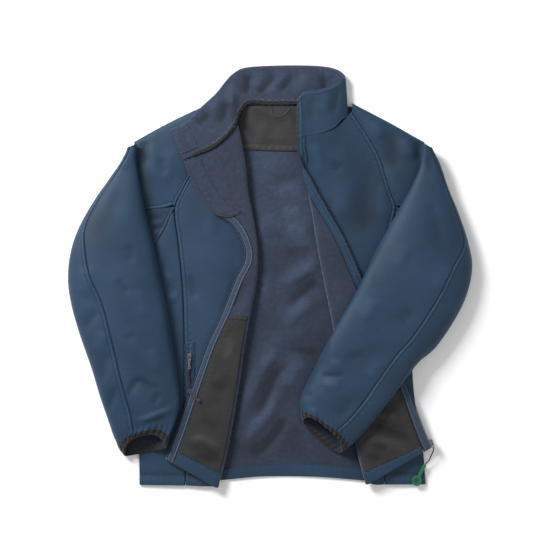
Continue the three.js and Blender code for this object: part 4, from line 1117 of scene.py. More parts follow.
def build_pocket_bag(hand, front, cloth, last):
    points, _, _ = grid_of(cloth, cloth.wide(BAG_FROM), FLAP_END, front["bag"], front["hem"] - 0.03, 3.0)
    x, y = plan(points)
    folded = creases(x, y, FLAP_CREASES[hand])
    rise = np.maximum(1.5 * folded, -0.1) + np.abs(ripple(x, y, RIPPLE_SEEDS[hand]["bag"], 46, 0.5))
    dress(f"pocket_bag_{hand}", cloth, points, -1, ["pocketing"], rise,
          {"first": (0.2, (1.5, 8.0)), "left": (0.2, (1.8,))}, UNDER, UNDER - LINING, group=f"bag_{hand}",
          shade=-0.2 * folded)


def build_fronts():
    for hand, front in FRONTS.items():
        for build in (build_front, build_zip_tape, build_hem_facing, build_pocket_bag):
            build(hand, front, front["cloth"], len(front["rows"]["at"]) - 1)


# The bound wind flap over the top of the right front's zip.
WIND_FLAP = {"wide": 32, "binding": 2.6, "proud": 0.3, "start": 0.25, "end": 3.72, "corner": 3.1,
             "round": 22, "long": 25}
WIND_FLAP_LOW = -TEETH_HALF - GAP
CORNER_SHARE = 0.95


def flap_edge(at):
    past = (at - WIND_FLAP["corner"]) / (WIND_FLAP["end"] - WIND_FLAP["corner"])
    t = np.clip(past, 0, 1) * CORNER_SHARE
    arc = np.sqrt(1 - t * t)
    slope = WIND_FLAP["round"] / WIND_FLAP["long"] * t / arc
    return WIND_FLAP["round"] * (1 - arc), WIND_FLAP["binding"] * np.hypot(1, slope)


def build_wind_flap():
    cloth = FRONTS["r"]["cloth"]
    span = WIND_FLAP["start"], WIND_FLAP["end"]
    points, _, _ = grid_of(cloth, lambda at: cloth.reach(sum(flap_edge(at)) + GAP, at),
                           cloth.wide(WIND_FLAP["wide"]), *span, 3.0)
    rise = np.maximum(ripple(*plan(points), 17, 60, 0.4), 0)
    dress("wind_flap_r", cloth, points, -1, ["fleece"], rise,
          {"right": (1.6, (2.6,)), "left": (0.8, (2.4,))}, WIND_FLAP_LOW, WIND_FLAP_LOW - BINDING,
          group="wind_flap", shade=0.1)
    points, _, _ = grid_of(cloth, lambda at: cloth.reach(flap_edge(at)[0], at),
                           lambda at: cloth.reach(sum(flap_edge(at)), at), *span, 2.0)
    dress("flap_binding_r", cloth, points, -1, ["edging"], None, None,
          WIND_FLAP_LOW, WIND_FLAP_LOW - BINDING - WIND_FLAP["proud"])


# Welts, tape and teeth of the pocket zip beside the right front's seam.
POCKET = {"wide": 17, "start": 8.77, "end": 10.85, "slider": 9.22, "inset": 1.5, "tooth": 1.5, "lift": 0.7}
WELTS = np.array([(0, 0.0), (1.0, 0.7), (4.2, 0.9), (6.0, 0.4), (6.9, -0.3), (8.5, -0.4), (10.1, -0.3),
                  (11, 0.4), (12.8, 0.9), (16, 0.7), (17, 0.0)])


def build_pocket():
    cloth = FRONTS["r"]["cloth"]
    points, _, _ = grid_of(cloth, cloth.wide_back(POCKET["wide"] + POCKET["inset"]),
                           cloth.wide_back(POCKET["inset"]), POCKET["start"], POCKET["end"], 2.0)
    edges = edge_distances(points)
    from_end = np.minimum(edges["first"], edges["last"])
    welt = np.clip(from_end / 4, 0, 1)
    profile = np.interp(edges["left"], *WELTS.T) * welt + 0.7 * (1 - welt) * np.clip(from_end / 0.8, 0, 1)
    dress("pocket_zip_tape_r", cloth, points, 1, ["shell", "tape"], profile,
          {edge: (0, (1.4,)) for edge in ("first", "left", "right")}, OVER + LINING, OVER, group="pocket",
          paint=lambda centre, left: np.abs(left - POCKET["wide"] / 2) < 2.2)
    at = np.linspace(POCKET["slider"] + 0.14, POCKET["end"] - 0.06, 200)
    middle = POCKET["wide"] / 2 + POCKET["inset"]
    paths = [cloth.point(cloth.reach_back(middle + way, at)[:, None], at)[:, 0]
             + UP * (OVER + LINING + GAP + POCKET["lift"]) for way in (2.0, 0.1, -0.1, -2.0)]
    teeth("pocket_zip_teeth_r", POCKET["tooth"], (paths[1], paths[0], 0.5), (paths[2], paths[3], 0.0))


def seam_point(front, at):
    return front["cloth"].point(np.full((len(at), 1), SEAM, float), at)[:, 0]


def side_cloth(front, hand):
    def section(at):
        seam = seam_point(front, at)
        side = spot(front["sides"], "s", at)
        out = unit(side - seam)
        middle = (seam + side) / 2
        middle[:, 2] += 0.6
        return np.stack([seam + out * SIDE_GAP, middle, side], axis=1)
    return Cloth(section, 1 if hand == "r" else -1)


SIDE_CREASES = {
    "r": folds("""
  x y high wide
  -196 4 1.2 6, -178 -4 1.2 6
  -196 -14 -0.6 5, -170 -28 -1.4 5
  -200 -38 1.4 6, -166 -40 1.6 6
  -192 -52 -0.6 5, -168 -50 -1.2 5
  -204 70 0.8 8, -198 20 1.2 8
  -198 -180 0.8 9, -206 -240 1 10, -200 -300 0.8 9"""),
    "l": folds("""
  x y high wide
  232 90 1.2 7, 240 40 1.2 8
  238 -150 0.8 8, 236 -230 1 9"""),
}


def build_sides():
    for hand, front in FRONTS.items():
        cloth = side_cloth(front, hand)
        first = front["sides"]["at"][0] + 0.08
        points, _, _ = whole(cloth, first, len(front["rows"]["at"]) - 1, 4.0)
        rise = creases(*plan(points), SIDE_CREASES[hand])
        dress(f"front_side_{hand}", cloth, points, 1, ["shell", "fleece"], rise,
              {"left": (1.3, ()), "right": (0.5, ()), "last": (0, (HEM_LINE,))}, group=f"side_{hand}")


CAPS = {
    "r": {"rows": CAP_R, "edge": "l", "front": FRONTS["r"]},
    "l": {"rows": CAP_L, "edge": "r", "front": FRONTS["l"]},
}


def cap_cloth(hand, rows, edge, front):
    def section(at):
        along = seam_point(front, np.minimum(at, 3) * front["junction"] / 3)
        p = np.where((at <= 3)[:, None], along, spot(rows, "p", at))
        q = spot(rows, "q", at)
        outline = spot(rows, "s", at)
        out = outline - q
        out[:, 2] = 0
        out = unit(out)
        seam = spot(BACK, edge, at)
        radius = (outline[:, 2] - HALF) / 2
        centre = outline - out * radius[:, None]
        centre[:, 2] = HALF + radius
        arc = []
        for degrees in (90, 45, 0, -45, -90):
            angle = math.radians(degrees)
            ring = centre + out * (radius * math.cos(angle))[:, None]
            ring[:, 2] = centre[:, 2] + radius * math.sin(angle)
            arc.append(ring)
        inward = quarter_turn(heading(BACK, edge, at)) * (-1 if edge == "l" else 1)
        seam = seam + inward * SIDE_GAP
        seam[:, 2] = HALF
        forward = q - p
        forward[:, 2] = 0
        return np.stack([p + unit(forward) * SIDE_GAP, q, *arc, seam], axis=1)
    return Cloth(section, 1 if hand == "r" else -1)


# How far a gusset's upper edge is drawn up under the shoulder's seam, at its outer and inner ends.
GUSSET_TOP = (3.5, 13.0)
GUSSET_FILL = 8.0


def build_caps():
    for hand, cap in CAPS.items():
        cloth = cap_cloth(hand, **cap)
        points, s, _ = whole(cloth, 0, 4, 4.0, 0.0, 7.0)
        upper = 1 / (1 + np.exp((s - 3) * 4))
        rise = (ripple(*plan(points), 21, 90, 0.3) + creases(*plan(points), CAP_CREASES[hand])) * upper
        dress(f"sleeve_cap_{hand}", cloth, points, 1, ["shell", "fleece"], rise,
              {"left": (1.3, (7.0,))}, group=f"cap_{hand}")


def gusset_section(rows, front):
    def section(at):
        outer = spot(rows, "o", at)
        arm = spot(front["sides"], "s", value(rows, "arm", at))
        return np.stack([outer, (outer + arm) / 2, arm + unit(outer - arm) * GUSSET_GAP], axis=1)
    return section


def build_gussets():
    for hand, rows, inward in (("r", GUSSET_R, 1), ("l", GUSSET_L, -1)):
        cloth = Cloth(gusset_section(rows, FRONTS[hand]), -inward)
        points, s, at = whole(cloth, 0, 3, 3.0)
        up = np.clip(1 - at / 1.4, 0, 1)[:, None] ** 2
        points[..., 1] += up * (GUSSET_TOP[0] + (GUSSET_TOP[1] - GUSSET_TOP[0]) * s / 2)
        points[..., 2] += up * 0.4
        points[..., 0] += inward * (s / 2) ** 2 * (1.4 + GUSSET_FILL * up)
        dress(f"sleeve_gusset_{hand}", cloth, points, 1, ["shell", "fleece"],
              creases(*plan(points), GUSSET_CREASES), {"right": (1.0, (7.0,))}, group=f"gusset_{hand}",
              shade=0.12)


CAP_CREASES = {
    "r": folds("""
  x y high wide
  -231 254 -2.5 6, -227 226 -3.2 6, -224 198 -2 6
  -216 250 1.4 10, -215 210 1.8 12, -214 170 1.4 12
  -198 220 -1.2 8, -190 186 -1.6 8
  -182 236 1.2 10, -192 166 1.4 10
  -150 276 1 10, -140 222 1.2 10
  -238 172 1.4 7, -226 138 1.4 7"""),
    "l": folds("""
  x y high wide
  216 280 -2.4 16, 228 236 -3.8 20, 230 186 -3.4 20
  250 256 2.4 9, 262 218 3 10
  274 252 -3 7, 275 204 -3 7
  196 290 1.2 10, 206 250 1.6 10"""),
}
GUSSET_CREASES = folds("""
  x y high wide
  -232 110 -1.6 5, -194 105 -1.6 5
  -230 98 1.3 5, -200 94 1.3 5
  -226 86 -2 6, -194 92 -2 6
  -226 77 1.3 5, -198 82 1.1 5
  -218 70 -0.6 4, -200 77 -0.6 4
  254 104 1 5, 270 98 1 5
  258 78 1 5, 272 72 1 5""")
COLLAR_CREASES = folds("""
  x y high wide
  14 374 -2.2 6, -7 350 -3.4 7, -26 330 -2.4 6
  46 376 -2.2 6, 32 354 -3.2 7, 14 336 -2.2 6
  -36 376 -3.2 8, -43 352 -3.6 8, -46 328 -2.6 7
  96 378 -2.6 8, 100 352 -3.4 8, 104 322 -2.4 8
  -16 376 1.6 8, -27 346 2.2 9
  30 378 1.6 8, 10 350 2.2 9, -6 332 1.4 8
  72 378 1.8 9, 58 350 2.2 10, 44 330 1.4 9
  -108 300 -2.4 7, -120 288 -3 8, -136 274 -2 7
  -78 330 -2.6 9, -84 302 -3.6 10, -94 272 -2.6 9
  -62 338 -2.2 7, -60 304 -2.8 7, -62 276 -2 7
  -94 334 1.8 8, -104 300 2.2 8
  -72 356 1.6 7, -70 310 2 7
  -152 268 1.4 8, -146 240 1.6 8
  104 360 -1.6 3, 116 369 -1.6 3""")
FORE_COLLAR_CREASES = folds("""
  x y high wide
  128 352 -1.8 8, 122 322 -2.6 9, 116 292 -1.8 8
  108 340 1.2 9, 100 296 1.6 10
  78 330 -1 8, 76 282 -1.4 9""")


# How far the collar laps over the neck seam behind, sinks to it in front and runs out at the turn.
NECK = {"lap": 3.5, "lap_span": (5, 9.8), "sink": 4.6, "sink_from": 10.2, "turn": (5.5, -5, 0),
        "turn_at": 10.9}


def collar_section(at):
    seam, top = spot(COLLAR, "s", at), spot(COLLAR, "t", at)
    first, last = NECK["lap_span"]
    lap = NECK["lap"] * fade_in(at - first, 0.6) * fade_in(last - at, 0.6)
    seam = seam - unit(top - seam) * lap[:, None]
    seam[:, 2] -= NECK["sink"] * fade_in(at - NECK["sink_from"], 0.8)
    seam += np.array(NECK["turn"]) * np.exp(-((at - NECK["turn_at"]) / 0.9) ** 2)[:, None]
    middle = (seam + top) / 2
    middle[:, 2] += 1
    return np.stack([seam, middle, top], axis=1)


def build_collar():
    cloth = Cloth(collar_section, -1)
    points, _, at = whole(cloth, 0, 16, 3.2)
    fore = np.clip((at - 10) / 0.6, 0, 1)[:, None]
    x, y = plan(points)
    folded = creases(x, y, COLLAR_CREASES) * (1 - fore) + creases(x, y, FORE_COLLAR_CREASES) * fore
    rise = np.maximum(folded, -np.maximum(points[..., 2] - HALF - 0.1, 0))
    # Painted highlight along the rolled top edge, and painted shade in the folds' troughs with lighter
    # ridges; the whole collar is also a little darker.
    rolled_edge_highlight = np.exp(-((edge_distances(points)["right"] - 3) / 3) ** 2)
    dress("collar", cloth, points, 1, ["fleece", "shell"], rise,
          {"right": (0, (6.5,)), "left": (0.8, ()), "last": (0.6, (3.0, 10.0))}, group="collar",
          shade=0.08 - 0.4 * rolled_edge_highlight - 0.12 * folded * (1 - 0.6 * fore))
    points, _, _ = whole(cloth, 0.6, 10.4, 2.6, 0.02, 0.215)
    dress("neck_tape", cloth, points, 1, ["neck_tape", "fleece"], None,
          {"right": (0, (1.2,)), "left": (0, (1.2,))}, OVER + LINING, OVER, group="neck",
          paint=lambda centre, left: left > 6)
    points, _, _ = whole(cloth, 0.1, 1.1, 3.0, 0.35, 1.7)
    dress("chin_guard_r", cloth, points, 1, ["fleece"], None,
          {"first": (0, (1.5,)), "last": (0, (1.5,))}, OVER + LINING, OVER, group="chin", shade=0.14)
    points, _, _ = whole(cloth, 0, 0.07, 2.0, 0.0, 1.95)
    dress("collar_edge_binding_r", cloth, points, 1, ["edging"], None, None,
          HALF + 0.5, -HALF - 0.5, nodes=[])


# Heights of what already lies on the table, from the frame's own pieces, on a square grid.
CELL = 4
REACH = 22
SOFTEN = 12
# What isn't under the sleeves: the sleeves themselves and small parts.
NOT_UNDER = ("sleeve_top", "sleeve_elbow", "cuff", "hanger", "pocket_zip") + tuple(
    f"{zip_kind}_{part}" for zip_kind in ("zip", "pocket")
    for part in ("pin", "box", "slider", "pull", "cord", "grip"))


class Relief:
    def __init__(self):
        self.low = np.array([-400, -440])
        shape = (np.array([400, 440]) - self.low) // CELL + 1
        self.heights = np.zeros(shape)
        for name, piece in frame["nodes"].items():
            if not name.startswith(NOT_UNDER):
                self.cover(piece.data)
        self.heights = np.maximum.reduce(self.moved(REACH))
        self.heights = np.mean(self.moved(SOFTEN), axis=0)

    def cover(self, mesh):
        mesh.calc_loop_triangles()
        place = np.empty(len(mesh.vertices) * 3)
        mesh.vertices.foreach_get("co", place)
        place = place.reshape(-1, 3) / MM - PLAN_TO_FRAME
        index = np.empty(len(mesh.loop_triangles) * 3, np.int32)
        mesh.loop_triangles.foreach_get("vertices", index)
        for a, b, c in place[index].reshape(-1, 3, 3):
            low = np.floor((np.minimum(np.minimum(a, b), c)[:2] - self.low) / CELL).astype(int)
            high = np.ceil((np.maximum(np.maximum(a, b), c)[:2] - self.low) / CELL).astype(int)
            area = (b[0] - a[0]) * (c[1] - a[1]) - (c[0] - a[0]) * (b[1] - a[1])
            if abs(area) < 0.02:
                continue
            gx, gy = np.mgrid[low[0]:high[0] + 1, low[1]:high[1] + 1]
            px, py = gx * CELL + self.low[0], gy * CELL + self.low[1]
            wb = ((px - a[0]) * (c[1] - a[1]) - (c[0] - a[0]) * (py - a[1])) / area
            wc = ((b[0] - a[0]) * (py - a[1]) - (px - a[0]) * (b[1] - a[1])) / area
            inside = (wb >= -0.02) & (wc >= -0.02) & (wb + wc <= 1.02)
            here = np.minimum(a[2] + wb * (b[2] - a[2]) + wc * (c[2] - a[2]), max(a[2], b[2], c[2]))
            np.maximum.at(self.heights, (gx[inside], gy[inside]), here[inside])

    # The heights moved by every step of the grid within reach.
    def moved(self, reach):
        steps = math.ceil(reach / CELL)
        return [np.roll(self.heights, (i, j), (0, 1)) for i in range(-steps, steps + 1)
                for j in range(-steps, steps + 1) if math.hypot(i, j) * CELL <= reach]

    def top(self, x, y):
        gx = np.clip((x - self.low[0]) / CELL, 0, self.heights.shape[0] - 1.001)
        gy = np.clip((y - self.low[1]) / CELL, 0, self.heights.shape[1] - 1.001)
        i, j = gx.astype(int), gy.astype(int)
        u, v = gx - i, gy - j
        h = self.heights
        return (h[i, j] * (1 - u) * (1 - v) + h[i + 1, j] * u * (1 - v)
                + h[i, j + 1] * (1 - u) * v + h[i + 1, j + 1] * u * v)


UNDER_GAP = 0.15
SIDE_RISE = 9
SIDE_LIMIT = 22
SLEEVE_ROOM = 6
RING_STEPS = 240
SQUARENESS = 2.5
UNDER_SEAM = -0.45
relief = Relief()


def sleeve_rings(rows, at):
    inner, outer = spot(rows, "i", at), spot(rows, "o", at)
    to_cuff = unit(spot(rows, "i", at + 0.1) + spot(rows, "o", at + 0.1)
                   - spot(rows, "i", at - 0.1) - spot(rows, "o", at - 0.1))
    angle = UNDER_SEAM + 2 * math.pi * np.arange(RING_STEPS + 1) / RING_STEPS
    c, w = np.cos(angle), np.sin(angle)
    across = (1 - np.sign(c) * np.abs(c) ** (2 / SQUARENESS)) / 2
    rise = np.sign(w) * np.abs(w) ** (2 / SQUARENESS)
    lean = -w * np.where(w > 0, value(rows, "back", at)[:, None], value(rows, "fore", at)[:, None])
    p = (inner[:, None] * (1 - across)[:, None] + outer[:, None] * across[:, None]
         + to_cuff[:, None] * lean[..., None])
    rest = relief.top(*plan(p)) + UNDER_GAP + WALL
    side = np.minimum(rest, SIDE_LIMIT) + SIDE_RISE
    top = np.maximum(value(rows, "top", at)[:, None], side + SLEEVE_ROOM)
    p[..., 2] = np.where(rise > 0, side + (top - side) * rise, np.maximum(side + (side - rest) * rise, rest))
    return p, across, w > 0


def on_rings(rings, wanted):
    lengths = run_of(rings)
    wanted = np.mod(wanted, lengths[:, -1:])
    return np.stack([read_along(*row) for row in zip(wanted, lengths, rings)])


# Points and normals on rings at given distances round them.
def skin(rings, wanted, mirror):
    inner = on_rings(rings, wanted)
    round_it = on_rings(rings, wanted + SMOOTHING) - on_rings(rings, wanted - SMOOTHING)
    return inner, unit(np.cross(round_it, np.gradient(inner, axis=0))) * mirror


ARMS = {"r": (ARM_R, 1), "l": (ARM_L, -1)}
SLEEVE_CREASES = {
    "r": folds("""
  x y high wide
  -260 -232 -2.6 6, -254 -203 -3.2 7, -240 -189 -3.4 7, -228 -194 -3.2 7, -215 -205 -2.8 7, -192 -201 -2.2 7
  -200 -210 -2 6, -207 -225 -2.8 6, -213 -238 -2 6
  -250 -260 2 5, -230 -262 3 5, -210 -254 3.4 6, -187 -244 3.4 6, -168 -236 2.6 6
  -236 -268 -1.6 4, -212 -262 -2.6 5, -190 -254 -2.6 5
  -313 -58 -1.8 8, -326 -80 -2.4 8, -343 -102 -1.8 8
  -294 -136 -2 8, -302 -166 -2.4 9, -309 -198 -1.8 8
  -282 -196 -2 7, -285 -222 -3 7, -298 -252 -2.2 6
  -268 168 -1.6 22, -296 112 -2.2 28, -326 52 -1.6 26
  -278 -4 -1.8 6, -256 -35 -1.8 6
  -266 -114 -1.6 6, -243 -107 -1.6 6
  -330 20 1.8 14, -338 -40 2 14
  -240 -20 1.6 12, -226 -80 1.8 12
  -300 -100 1.8 10, -312 -140 1.8 10
  -214 -130 1.6 10, -204 -176 1.8 10
  -262 -290 1.6 6, -240 -284 2.2 7, -214 -276 1.6 6
  -270 196 1.6 8, -262 224 1.4 7
  -256 60 -1.6 10, -250 24 -1.8 10"""),
    "l": folds("""
  x y high wide
  86 -182 -2.2 6, 112 -181 -2.8 6, 140 -179 -2.2 6
  138 -146 -1.8 9, 158 -147 -2 9, 174 -140 -1.4 8
  77 -213 -1.8 5, 62 -223 -1.8 5
  96 -198 2 8, 130 -198 2.2 8
  108 -160 1.8 8, 134 -160 1.8 8
  290 140 -2 12, 306 90 -2.6 14, 312 44 -2 12
  252 60 1.8 12, 232 10 2 12
  262 -60 -1.8 10, 238 -92 -2 10
  196 -40 1.8 11, 172 -84 2 11
  206 -150 1.8 10, 180 -190 2 10
  150 -220 -1.8 9, 128 -262 -2 9
  82 -240 1.8 8, 78 -262 1.8 8
  108 -268 1.8 7, 98 -290 1.8 7
  330 20 1.8 12, 300 -30 1.8 12
  298 190 -1.4 8, 288 222 -1.4 7"""),
}
# Softer folds of the sleeves' undersides.
UNDER_CREASES = {
    "r": folds("""
  x y high wide
  -300 60 -1.2 14, -250 20 -1.2 14
  -300 -80 -1.2 12, -220 -110 -1.2 12
  -280 -200 -1.2 10, -200 -220 -1.2 10"""),
    "l": folds("""
  x y high wide
  320 60 -1.2 14, 260 20 -1.2 14
  250 -100 -1.2 12, 180 -60 -1.2 12
  160 -220 -1.2 10, 90 -190 -1.2 10"""),
}
GATHER = {"pitch": 10.5, "high": 1.3, "reach": 17}
SMOOTHING = 7
CUFF_BAND = 6.5
CUFF_GRID = 7, 160


def gathers(wanted):
    return np.sin(wanted * 2 * math.pi / GATHER["pitch"] + 1.3 * np.sin(wanted / 17))


# One panel of a sleeve, between two distances round its rings.
def build_panel(part, hand, mirror, rings, start, end, to_cuff):
    wanted = start[:, None] + distances(end - start, 4.5)
    inner, normal = skin(rings, wanted, mirror)
    middle = inner + normal * HALF
    seen = np.clip(normal[..., 2] * 2.5, 0, 1)
    x, y = plan(middle)
    rise = creases(x, y, SLEEVE_CREASES[hand]) * seen
    rise += creases(x, y, UNDER_CREASES[hand]) * np.clip(-normal[..., 2] * 2.5, 0, 1)
    # Painted shade in the folds' troughs and the broad painted shade, lighter on the ridges.
    painted_shading = -rise * FOLD_SHADE + creases(x, y, BROAD_SHADE) * seen * 0.6
    rise += ripple(x, y, RIPPLE_SEEDS[hand]["sleeve"], 120, 0.6) * seen
    gather = GATHER["high"] * gathers(wanted) * np.exp(-(to_cuff / GATHER["reach"]) ** 2)
    edge, lines = {"top": ("right", ()), "elbow": ("left", (7.0,))}[part]
    seam = seam_relief(edge_distances(middle), edge, 1.3, lines)
    rise += gather + seam
    # Painted shade along the cuff binding's edge and in the gathers' troughs, painted highlight on the
    # gathers' ridges, and painted shade and highlight at the seam.
    painted_shading += 0.5 * np.exp(-((to_cuff - CUFF_BAND) / 2) ** 2) - gather * 0.25 - seam * SEAM_SHADE
    middle = middle + normal * rise[..., None]
    normal = unit(normals_of(middle) * mirror)
    band = (to_cuff[1:] < CUFF_BAND) * 2.0
    name = f"sleeve_{part}_{hand}"
    # The sleeve's inner face is one even painted shade, the shadow inside the tube.
    wall(name, middle, normal, HALF, -HALF, ["shell", "fleece", "binding"], [name], painted_shading=painted_shading,
         inside=0.6, paint=lambda centre, left: np.broadcast_to(band, left.shape))
    stitch_edge(f"sleeve_{hand}", middle, normal, edge, lines, HALF, ends=2)


# The cuff's binding, a short tube at the rings' end.
def build_cuff(hand, mirror, rows, start, last):
    rings, _, _ = sleeve_rings(rows, np.linspace(start, last, CUFF_GRID[0]))
    wanted = run_of(rings)[:, -1:] * np.arange(CUFF_GRID[1]) / CUFF_GRID[1]
    inner, normal = skin(rings, wanted, mirror)
    bulge = 0.5 * np.sin(np.linspace(0, math.pi, CUFF_GRID[0]))[:, None] + 0.5 * gathers(wanted)
    middle = inner + normal * (HALF + bulge)[..., None]
    wall(f"cuff_binding_{hand}", middle, normal, HALF, -HALF, ["binding"],
         [f"cuff_binding_{hand}"], wraps=True)


def build_sleeves():
    for hand, (rows, mirror) in ARMS.items():
        last = len(rows["at"]) - 1
        rough = np.linspace(0, last - 0.5, 300)
        run = run_of((spot(rows, "i", rough) + spot(rows, "o", rough)) / 2)
        at = np.interp(distances(run[-1], 4.0), run, rough)
        rings, across, upper = sleeve_rings(rows, at)
        lengths = run_of(rings)
        elbow = np.array([np.interp(share, across[upper], row[upper])
                          for share, row in zip(value(rows, "elbow", at), lengths)])
        to_cuff = (run[-1] - np.interp(at, rough, run))[:, None]
        half = np.full(len(at), GAP / 2)
        build_panel("top", hand, mirror, rings, half, elbow - half, to_cuff)
        build_panel("elbow", hand, mirror, rings, elbow + half, lengths[:, -1] - half, to_cuff)
        build_cuff(hand, mirror, rows, last - 0.5, last)


# Zip teeth along an edge: each a small rounded block across the edge.
TOOTH = {"pitch": 2.6, "long": 1.7, "high": 2.1}
TOOTH_ALONG = (-1.0, 0.75), (-0.75, 1.0), (0.1, 1.0), (0.45, 0.7), (0.7, 1.15), (0.98, 0.85)
TOOTH_ROUND = (-1, -1), (-1.25, 0), (-1, 1), (1, 1), (1.25, 0), (1, -1)


def build_teeth():
    for hand, front in FRONTS.items():
        cloth = front["cloth"]
        at = np.linspace(0.02, len(front["rows"]["at"]) - 1 - front["teeth_end"], 500)
        edge = cloth.point(np.zeros((500, 1)), at)[:, 0]
        inner = cloth.point(cloth.reach(TEETH, at)[:, None], at)[:, 0]
        teeth(f"zip_teeth_{hand}", TOOTH["high"], (edge, inner, 0.5))


# Rows of teeth, each from one path to another and with the share of a pitch where it begins.
def teeth(name, high, *rows):
    tubes = np.concatenate([tooth_row(edge, inner, high, first) for edge, inner, first in rows])
    points, faces = many_tubes(tubes, len(TOOTH_ROUND))
    add_mesh(name, points, faces, ["teeth"], "garment", [name])


def tooth_row(edge, inner, high, first):
    run = run_of(edge)
    count = int(run[-1] / TOOTH["pitch"])
    wanted = (np.arange(count) + first) * run[-1] / count
    a, b = read_along(wanted, run, edge), read_along(wanted, run, inner)
    out = unit(a - b)
    along = unit(np.gradient(a, axis=0))
    up = unit(np.cross(along, out))
    up = up * np.sign(up[:, 2:] + 1e-9)
    reach = np.linalg.norm(a - b, axis=-1, keepdims=True) / 2
    return np.stack([(a + b) / 2 + out * reach * share + along * cx * TOOTH["long"] / 2.5 * size
                     + up * cz * high / 2 * min(size, 1)
                     for share, size in TOOTH_ALONG for cx, cz in TOOTH_ROUND], axis=1)


# A route through a table's points, at even steps.
def route_of(rows, count):
    controls = np.stack([rows[k] for k in "xyz"], axis=-1)[None]
    fine = along_curves(controls, np.linspace(0, controls.shape[1] - 1, 400)[None])[0]
    run = run_of(fine)
    return read_along(np.linspace(0, run[-1], count), run, fine), run[-1]


# A braided tube along a route: strands stand a little proud and wind round it both ways.
BRAID = {"strands": 6, "turn": 4.2, "proud": 0.07, "sides": 24}


def braided(name, route, radius, flat, material, body, nodes):
    along = unit(np.gradient(route, axis=0))
    side = unit(np.cross(along, UP))
    up = np.cross(side, along)
    angle = 2 * math.pi * np.arange(BRAID["sides"]) / BRAID["sides"]
    turn = run_of(route)[:, None] * 2 * math.pi / BRAID["turn"]
    strand = BRAID["strands"] / 2 * angle
    crossing = np.maximum(np.cos(strand + turn), np.cos(strand - turn))
    size = radius * (1 - BRAID["proud"] + BRAID["proud"] * crossing)
    size[[0, -1]] *= 0.8
    points = (route[:, None] + side[:, None] * (size * np.cos(angle))[..., None]
              + up[:, None] * (size * np.sin(angle) * flat)[..., None])
    return add_mesh(name, points.reshape(-1, 3), ring_faces(len(route), BRAID["sides"]), [material], body,
                    nodes)


# Pull cords, laid as in the part's source, and the loop at the neck.
CORD = 2.2
MAIN_CORD = table("""
      x      y    z
    301 -316.5 18.3
    300   -322 17.2
  296.5   -331 14.2
    293   -340 11.3
    286 -347.6  9.3""")
POCKET_CORD = table("""
       x      y    z
    -149 -171.8 14.6
  -150.4   -180 15.8
  -150.8   -190 18.4
  -150.8   -198   21
  -150.3 -206.9 22.8""")
LOOP = table("""
    x     y    z
    2   313 5.15
    3   305 5.15
  5.5 297.5 5.15
   12 294.5 5.15
   21 295.5 5.15
   30   301 5.15
   38   311 5.15""")
DROP = {"neck": 3.2, "length": 33, "radius": 9.5, "thick": 4, "turn": -117, "place": (285.7, -348.2, 8.7)}
STEM = table("""
    at radius
     0    1.6
   1.5    2.6
     9    3.1
    20    3.3
    24    2.2
  26.5    3.1
    30    2.6
  31.5    0.8""")
STEM_FRAME = {"turn": -48, "place": (-149.6, -207.6, 22.8)}


def placed(points, turn, place):
    c, s = math.cos(math.radians(turn)), math.sin(math.radians(turn))
    x, y, z = points[..., 0], points[..., 1], points[..., 2]
    return np.stack([x * c - y * s, x * s + y * c, z], axis=-1) + np.array(place, float)


# The flat drop: rounded all round, with a dished eye in its round end.
def build_drop():
    end = DROP["length"] + DROP["radius"]
    u = np.concatenate([[0, 0.25, 0.7, 1.4], np.linspace(2.4, end - 2.4, 60),
                        end - np.array([1.4, 0.7, 0.25, 0.03])])
    round_half = np.sqrt(np.maximum(DROP["radius"] ** 2 - (u - DROP["length"]) ** 2, 0))
    neck = DROP["neck"] * np.minimum(1, 0.8 + u / 5)
    half = np.maximum(round_half, np.where(u < DROP["length"], neck, 0.05))
    sides = 40
    angle = 2 * math.pi * (np.arange(sides) + 0.5) / sides
    c, w = np.cos(angle), np.sin(angle)
    cy = np.sign(c) * np.abs(c) ** 0.55
    cz = np.sign(w) * np.abs(w) ** 0.4
    thick = DROP["thick"] / 2 * np.minimum(1, 0.55 + u / 2)
    y = half[:, None] * cy
    x = np.broadcast_to(u[:, None], y.shape)
    from_eye = np.hypot(x - DROP["length"], y)
    edge = np.clip((DROP["radius"] - from_eye) / 1.6, 0, 1)
    near_end = np.where(x > DROP["length"], np.sqrt(1 - (1 - edge) ** 2) * 0.6 + 0.4, 1)
    eye = np.clip((5.6 - from_eye) / 0.9, 0, 1)
    z = thick[:, None] * cz * near_end * (1 - 0.45 * eye)
    points = np.stack([x, y, z], axis=-1)
    faces = ring_faces(len(u), sides)
    # Faces in the dished eye take the darker rubber colour.
    centre = np.array([from_eye.reshape(-1)[face].mean() for face in faces])
    kinds = (centre < 5.2).astype(int)
    return add_mesh("zip_grip_l", placed(points, DROP["turn"], DROP["place"]).reshape(-1, 3), faces,
                    ["rubber", "rubber_dark"], "main_pull", ["zip_grip_l"], kinds)


def build_stem():
    u = np.linspace(0, STEM["at"][-1], 90)
    radius = value(STEM, "radius", u)
    radius[0] = 0.4
    sides = 28
    angle = 2 * math.pi * np.arange(sides) / sides
    wrap = 1 + 0.05 * np.sin(3 * angle + u[:, None] * 0.55) + 0.03 * np.sin(u[:, None] * 2.1)
    size = radius[:, None] * wrap
    along = np.broadcast_to(u[:, None], size.shape)
    points = np.stack([along, size * np.cos(angle), size * np.sin(angle)], axis=-1)
    return add_mesh("pocket_grip_r", placed(points, **STEM_FRAME).reshape(-1, 3), ring_faces(len(u), sides),
                    ["sleeving"], "pocket_pull", ["pocket_grip_r"])


